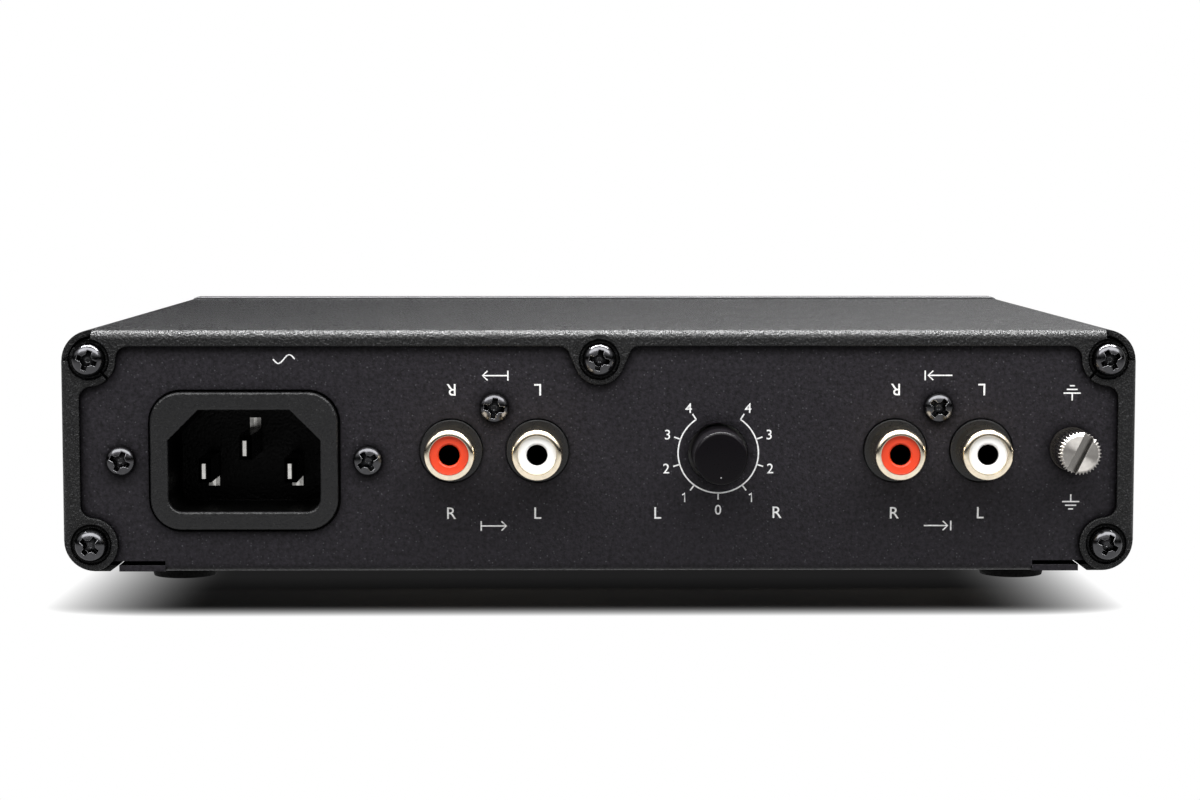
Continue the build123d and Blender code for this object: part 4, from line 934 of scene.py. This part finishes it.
class PREAMP_OT_inlet(bpy.types.Operator):
    """Finish the mains inlet and its pins"""

    bl_idname = "preamp.inlet"
    bl_label = "Finish inlet"

    def execute(self, context):
        dress(["mains_inlet"], self.body(context.scene.preamp_colours.inlet_plastic))
        dress(["inlet_earth_pin", "inlet_live_pin", "inlet_neutral_pin"], self.pins())
        return {"FINISHED"}

    def pins(self):
        """Nickel-plated brass, painted near black as shade, with a painted highlight down the middle of each
        tip's end and a fainter one on the stubs behind.
        """
        material = bright_plate("nickel_plated_pins", linear("#f6f4f0"), 0.2, 0.8 * MM)
        add = partial(add_node, material.node_tree)
        facing = add(SPLIT, add("ShaderNodeNewGeometry").outputs["Normal"])
        end = add(RANGE, facing.outputs[1], -0.95, -0.6, 1.0, 0.0)
        # Painted highlight on faces towards the connectors' side: a band down the middle of each tip, and a
        # fainter one on the stubs behind
        live_low, live_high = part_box("inlet_live_pin")
        earth_low, earth_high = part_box("inlet_earth_pin")
        middle = (earth_low.x + earth_high.x) / 2
        pitch = (live_low.x + live_high.x) / 2 - middle
        place = add("ShaderNodeTexCoord").outputs["Object"]
        xyz = add(SPLIT, place).outputs
        from_pin = add("WRAP", add("SUBTRACT", xyz[0], middle), pitch / 2, -pitch / 2)
        band = add(RANGE, add("ABSOLUTE", from_pin), 0.25 * MM, 0.33 * MM, 1.0, 0.0)
        stub = add(RANGE, xyz[1], live_low.y + 2 * MM, live_low.y + 3 * MM, 0.0, 0.45)
        bright = add("MULTIPLY", end, add("MAXIMUM", band, stub))
        paint_over(material, add("SUBTRACT", 1.0, bright), linear("#1d1c1a"))
        return material

    def body(self, plastic):
        """Moulded thermoplastic with a sandy skin, its socket painted dark as shade deeper in."""
        material = moulded("moulded_inlet", plastic, 0.3, 0.45 * MM, 0.16 * MM, 0.3 * MM, 0.32)
        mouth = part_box("mains_inlet")[0].y
        shade_inside(material, mouth + 0.3 * MM, mouth + 1.2 * MM, "#040404")
        return material


class PREAMP_OT_knob(bpy.types.Operator):
    """Mould the balance knob with its pointer dot, and finish its shaft and potentiometer"""

    bl_idname = "preamp.knob"
    bl_label = "Make balance knob"

    DOT_RADIUS = 0.12 * MM
    DOT_DROP = 3.1 * MM  # from the knob's axis
    DOT_PROUD = 0.03 * MM

    def execute(self, context):
        plastic = context.scene.preamp_colours.knob_plastic
        finish = moulded("moulded_knob", plastic, 0.3, 0.25 * MM, 0.003 * MM, gloss=0.09)
        axis, start, end, radius = middle_of("balance_knob")
        face = start + self.DOT_PROUD
        corners = [
            (0, face, 0),
            (radius - 0.12 * MM, face, 0.55 * MM),
            (radius, start + 4 * MM, 0),
            (radius, end, 0.3 * MM),
            (0, end, 0),
        ]
        mesh = turned(corners, axis)
        finished("turned_balance_knob", mesh, finish, "balance", ["balance_knob"])
        paint = moulded("pointer_dot_paint", linear("#a8a8aa"), 0.5, 0.1 * MM, 0.002 * MM, 0.0)
        dot = [(0, start, 0), (self.DOT_RADIUS, start, 0.02 * MM)]
        dot += [(self.DOT_RADIUS, face + 0.1 * MM, 0), (0, face + 0.1 * MM, 0)]
        finished("pointer_dot", turned(dot, (axis[0], axis[1] - self.DOT_DROP), 32), paint, "balance")
        dress(["balance_shaft", "balance_pot"], sheet_metal("diecast_pot_metal", "#a8a8a6", 0.4))
        return {"FINISHED"}


class PREAMP_OT_earth_screw(bpy.types.Operator):
    """Make the fluted earth screw and finish its washer"""

    bl_idname = "preamp.earth_screw"
    bl_label = "Make earth screw"

    TURNED_RING = 0.42 * MM  # feed of the lathe, drawn coarse enough to show

    def execute(self, context):
        sizes = context.scene.preamp_sizes
        axis, start, end, radius = middle_of("ground_screw")
        nickel = self.turned_nickel(context.scene.preamp_colours.nickel_plate, axis, start)
        washer_y = middle_of("ground_washer")[1]
        values = {
            "Head Radius": radius,
            "Head Length": washer_y - start,
            "Bevel": 0.6 * MM,
            "Flute Radius": sizes.flute_radius,
            "Slot Width": 1.7 * MM,
            "Slot Depth": 1.6 * MM,
            "Slot Turn": radians(63),
            "Thread Radius": 1.95 * MM,
            "Thread Length": end - washer_y,
            "Thread Pitch": sizes.thread_pitch,
            "Flutes": sizes.flutes,
            "Material": nickel,
        }
        mesh = run_tree(earth_screw_tree(), values, [(axis[0], washer_y, axis[1])])
        body = "ground_screw"
        finished("fluted_earth_screw", mesh, nickel, body, ["ground_screw"], radians(24))
        dress(["ground_washer"], sheet_metal("dull_nickel_washer", "#4c4946", 0.45))
        return {"FINISHED"}

    def turned_nickel(self, colour, axis, face):
        """Nickel plate over a lathe-turned face: its grooves fan the light, and the sawn slot is rougher,
        with painted shade in the hollows off the face.
        """
        material, add, place = new_finish("nickel_plated_turned_screw")
        depth = add(SPLIT, place).outputs[1]
        on_face = add(RANGE, depth, face + 0.1 * MM, face + 0.8 * MM, 1.0, 0.0)
        centring = {"Vector": place, "Location": (-axis[0], 0, -axis[1])}
        centred = add("ShaderNodeMapping", centring, vector_type="POINT")
        across = add(VECTOR, centred, (1, 0, 1), operation="MULTIPLY")
        reach = add(VECTOR, across, operation="LENGTH")
        rings = add("SINE", add("MULTIPLY", reach, 2 * pi / self.TURNED_RING))

        cloud = add(NOISE, lumps_of(0.7 * MM, place))
        share = add(RANGE, cloud, 0.3, 0.7, 0.0, 1.0)
        tone = add(MIX, share, tuple(colour), scaled(colour, 0.86), data_type="RGBA")
        # Off the face, hollows are painted darker as shade
        sky = add("ShaderNodeAmbientOcclusion", {"Distance": 2.0 * MM}, samples=CORNER_RAYS)
        reached = add(RANGE, sky.outputs["AO"], 0.6, 1.0, 0.0, 1.0)
        clean = add("MAXIMUM", on_face, reached)
        tone = add(MIX, clean, scaled(colour, 0.5), tone, data_type="RGBA")
        inputs = {
            "Metallic": 1.0,
            "Base Color": tone,
            "Roughness": add(RANGE, on_face, 0.0, 1.0, 0.22, 0.44),
            "Anisotropic": add("MULTIPLY", on_face, 0.98),
            "Tangent": add(VECTOR, across, operation="NORMALIZE"),
        }
        return shade(material, inputs, add("MULTIPLY", rings, on_face), 0.002 * MM, 0.1 * MM)


class PREAMP_OT_front_controls(bpy.types.Operator):
    """Finish the power button and the light beside it"""

    bl_idname = "preamp.front_controls"
    bl_label = "Finish front controls"

    def execute(self, context):
        dress(["power_button"], sheet_metal("turned_button_aluminium", "#8f8f92", 0.3))
        clear = moulded("clear_moulded_light_pipe", linear("#e8eef2"), 0.12, 0.5 * MM, 0.002 * MM)
        dress(["light_pipe", "status_led"], clear)
        return {"FINISHED"}


class PREAMP_OT_inner_parts(bpy.types.Operator):
    """Finish the boards, their components and the hidden fasteners"""

    bl_idname = "preamp.inner_parts"
    bl_label = "Finish inner parts"

    ZINC_PARTS = "fascia_screws board_screws board_standoffs inlet_nuts ground_nut ground_tag".split()
    COMPONENTS = "amplifier_chips bridge_rectifier regulators mute_relay board_header power_switch".split()
    COMPONENTS += "switch_plunger bulk_capacitor smoothing_capacitors signal_capacitors".split()
    # Name, colour, roughness and nodes
    METALS = (
        ("bright_zinc_plate", "#c4c6c8", 0.3, ZINC_PARTS),
        ("plain_aluminium_sheet", "#b9babd", 0.38, ("heatsink",)),
        ("tinned_spring_brass", "#c8bfa0", 0.3, ("fuse_clips",)),
    )
    # Name, colour, roughness, size and depth of the texture in millimetres, and nodes
    MOULDINGS = (
        ("solder_resist_laminate", "#1f5a38", 0.35, 0.6, 0.01, ("main_board", "front_board")),
        ("moulded_component", "#1b1b1c", 0.5, 0.3, 0.01, COMPONENTS),
        ("dipped_film_capacitor", "#c2a24a", 0.25, 0.8, 0.02, ("film_capacitors", "suppression_capacitor")),
        ("ferrite_and_tape", "#46423c", 0.6, 0.5, 0.03, ("filter_choke", "power_transformer")),
        ("fuse_glass_and_caps", "#dfe6e2", 0.1, 0.6, 0.002, ("mains_fuse",)),
    )

    def execute(self, context):
        for name, colour, rough, nodes in self.METALS:
            dress(nodes, sheet_metal(name, colour, rough))
        for name, colour, rough, texture, depth, nodes in self.MOULDINGS:
            dress(nodes, moulded(name, linear(colour), rough, texture * MM, depth * MM))
        return {"FINISHED"}


class PREAMP_OT_stage(bpy.types.Operator):
    """Lay the floor, hang the lamps and set up the camera"""

    bl_idname = "preamp.stage"
    bl_label = "Set stage"

    def execute(self, context):
        studio = context.scene.preamp_studio
        floor = self.floor()
        self.world(context.scene, studio.ambient)
        self.softbox("key_lamp", (0, 335, 616), 220, 75, studio.key_power)
        rim = self.softbox("rim_strip", (0, 90, 640), 900, 70, studio.rim_power)
        front = self.softbox("front_softbox", (0, -420, 600), 1600, 400, studio.fill_power)
        glow = self.softbox("plating_strip", (0, -20, 330), 420, 110, studio.glow_power)
        # Flags keep all but the key lamp off the floor, so that the case's shadow stays deep
        for lamp, flagged in ((front, "flagged_floor"), (rim, UNLIT_BY_STRIP)):
            lamp.light_linking.receiver_collection = bpy.data.collections.new(flagged)
            lamp.light_linking.receiver_collection.objects.link(floor)
            lamp.light_linking.receiver_collection.collection_objects[0].light_linking.link_state = "EXCLUDE"
        # The low strip lights only the upper sides of the jacks' plating, which joins its collection later
        glow.light_linking.receiver_collection = bpy.data.collections.new(LIT_BY_GLOW)
        self.camera(context.scene, studio)
        context.scene.view_settings.view_transform = "Standard"
        return {"FINISHED"}

    def floor(self):
        """Wide pale floor that runs out to plain white, and keeps the case's shadow."""
        reach = 6.0
        mesh = bpy.data.meshes.new("floor")
        corners = [(x * reach, y * reach, 0) for x, y in ((-1, -1), (1, -1), (1, 1), (-1, 1))]
        mesh.from_pydata(corners, [], [(0, 1, 2, 3)])
        material, add, place = new_finish("white_floor")
        rays = add("ShaderNodeLightPath").outputs
        mirrored = add("MAXIMUM", rays["Is Glossy Ray"], rays["Is Transmission Ray"])
        # The lamp's shadow is painted out to white just inside the case's ends, a little way in front of it
        # and behind it. Each fade has its value, where it starts and ends, and the curve between.
        xyz = add(SPLIT, place).outputs
        # A faint painted glow under the case, stronger further under it
        clear = add(RANGE, xyz[1], -60 * MM, -45 * MM, 0.003, 0.012)
        fades = (
            (xyz[0], -61 * MM, -86.5 * MM, 2.5),
            (xyz[0], 56 * MM, 82 * MM, 2.9),
            (xyz[1], -75 * MM, -86.5 * MM, 2.6),
            (xyz[1], 58 * MM, 68 * MM, 2.0),
        )
        for value, start, end, curve in fades:
            ramp = add(RANGE, value, start, end, 0.0, 1.0)
            clear = add("ADD", clear, add("POWER", ramp, curve))
        # The wall gets the white floor's bounce as well
        seen = add("ADD", rays["Is Diffuse Ray"], rays["Is Camera Ray"])
        white_share = add("MULTIPLY", seen, clear)
        white_share = add("MAXIMUM", white_share, mirrored)
        # The camera sees the shadowed floor darker than other rays do: painted shade that deepens the shadow
        grey = add(RANGE, rays["Is Camera Ray"], 0.0, 1.0, 0.3, 0.12)
        shadowed = add("ShaderNodeBsdfDiffuse", {"Color": grey})
        # Mirrors see the white floor near the case, and a darker room further out
        away = add(VECTOR, place, operation="LENGTH")
        dimmer = add(RANGE, away, 0.15, 0.4, 0.0, 0.6)
        dimmer = add("MULTIPLY", mirrored, dimmer)
        strength = add("SUBTRACT", 1.0, dimmer)
        white = add("ShaderNodeEmission", {"Color": (1, 1, 1, 1), "Strength": strength})
        surface = add("ShaderNodeMixShader", white_share, shadowed, white)
        add("ShaderNodeOutputMaterial", {"Surface": surface})
        mesh.materials.append(material)
        floor = bpy.data.objects.new("floor", mesh)
        bpy.context.scene.collection.objects.link(floor)
        return floor

    def world(self, scene, ambient):
        """White surroundings for the camera, a pale backdrop behind for mirrors, and an even dim light."""
        world = bpy.data.worlds.new("studio")
        scene.world = world
        world.use_nodes = True
        world.node_tree.nodes.clear()
        add = partial(add_node, world.node_tree)
        rays = add("ShaderNodeLightPath").outputs
        mirrored = add("MAXIMUM", rays["Is Glossy Ray"], rays["Is Transmission Ray"])
        aim = add(SPLIT, add("ShaderNodeTexCoord").outputs["Generated"]).outputs
        # Mirrors see a pale backdrop behind, brighter to the right, and a white ceiling over the front
        backdrop = add(RANGE, aim[0], -0.12, 0.24, 0.0, 0.45)
        to_the_back = add(RANGE, aim[1], 0.04, 0.4, 0.0, 1.0)
        behind = add("MULTIPLY", to_the_back, backdrop)
        to_the_front = add(RANGE, aim[1], -0.1, 0.25, 1.0, 0.0)
        upwards = add(RANGE, aim[2], 0.2, 0.4, 0.0, 1.0)
        reflected = add("MAXIMUM", behind, add("MULTIPLY", upwards, to_the_front))
        even = add(RANGE, mirrored, 0.0, 1.0, ambient, 0.0)
        strength = add("MULTIPLY_ADD", mirrored, reflected, even)
        strength = add("MAXIMUM", strength, rays["Is Camera Ray"])
        light = add("ShaderNodeBackground", {"Color": (1, 1, 1, 1), "Strength": strength})
        add("ShaderNodeOutputWorld", {"Surface": light})

    def softbox(self, name, place, width, height, power):
        """Rectangular area lamp, placed in millimetres, that points at the case."""
        lamp = bpy.data.lights.new(name, "AREA")
        lamp.shape = "RECTANGLE"
        lamp.size = width * MM
        lamp.size_y = height * MM
        lamp.energy = power
        box = bpy.data.objects.new(name, lamp)
        box.location = Vector(place) * MM
        box.rotation_euler = (CASE_MIDDLE - box.location).to_track_quat("-Z", "Y").to_euler()
        bpy.context.scene.collection.objects.link(box)
        return box

    def camera(self, scene, studio):
        """Camera level with the world, turned and tilted by the studio's angles."""
        lens = bpy.data.cameras.new("camera")
        lens.lens = studio.lens
        lens.sensor_width = 36
        lens.clip_start = 10 * MM
        lens.clip_end = 20
        camera = bpy.data.objects.new("camera", lens)
        camera.location = studio.camera_place
        camera.rotation_euler = (pi / 2 - studio.camera_tilt, 0, -studio.camera_turn)
        scene.collection.objects.link(camera)
        scene.camera = camera


# ---------------------------------------------------------------- panel and registration
OPERATORS = (
    PREAMP_OT_stage,
    PREAMP_OT_case,
    PREAMP_OT_screws,
    PREAMP_OT_print,
    PREAMP_OT_inlet,
    PREAMP_OT_jacks,
    PREAMP_OT_knob,
    PREAMP_OT_earth_screw,
    PREAMP_OT_front_controls,
    PREAMP_OT_inner_parts,
)


class PREAMP_PT_panel(bpy.types.Panel):
    """Steps that dress the preamplifier"""

    bl_idname = "PREAMP_PT_panel"
    bl_label = "Phono preamplifier"
    bl_space_type = "VIEW_3D"
    bl_region_type = "UI"
    bl_category = "Preamp"

    def draw(self, context):
        for operator in OPERATORS:
            self.layout.operator(operator.bl_idname)


GROUPS = {"preamp_colours": PreampColours, "preamp_sizes": PreampSizes, "preamp_studio": PreampStudio}
CLASSES = (*GROUPS.values(), *OPERATORS, PREAMP_PT_panel)


def register():
    for each in CLASSES:
        bpy.utils.register_class(each)
    for name, group in GROUPS.items():
        setattr(bpy.types.Scene, name, PointerProperty(type=group))


def unregister():
    for name in GROUPS:
        delattr(bpy.types.Scene, name)
    for each in reversed(CLASSES):
        bpy.utils.unregister_class(each)


def main():
    register()
    bpy.ops.preamp.stage()
    bpy.ops.preamp.case()
    bpy.ops.preamp.screws()
    bpy.ops.preamp.print()
    bpy.ops.preamp.inlet()
    bpy.ops.preamp.jacks()
    bpy.ops.preamp.knob()
    bpy.ops.preamp.earth_screw()
    bpy.ops.preamp.front_controls()
    bpy.ops.preamp.inner_parts()


if __name__ == "__main__":
    main()
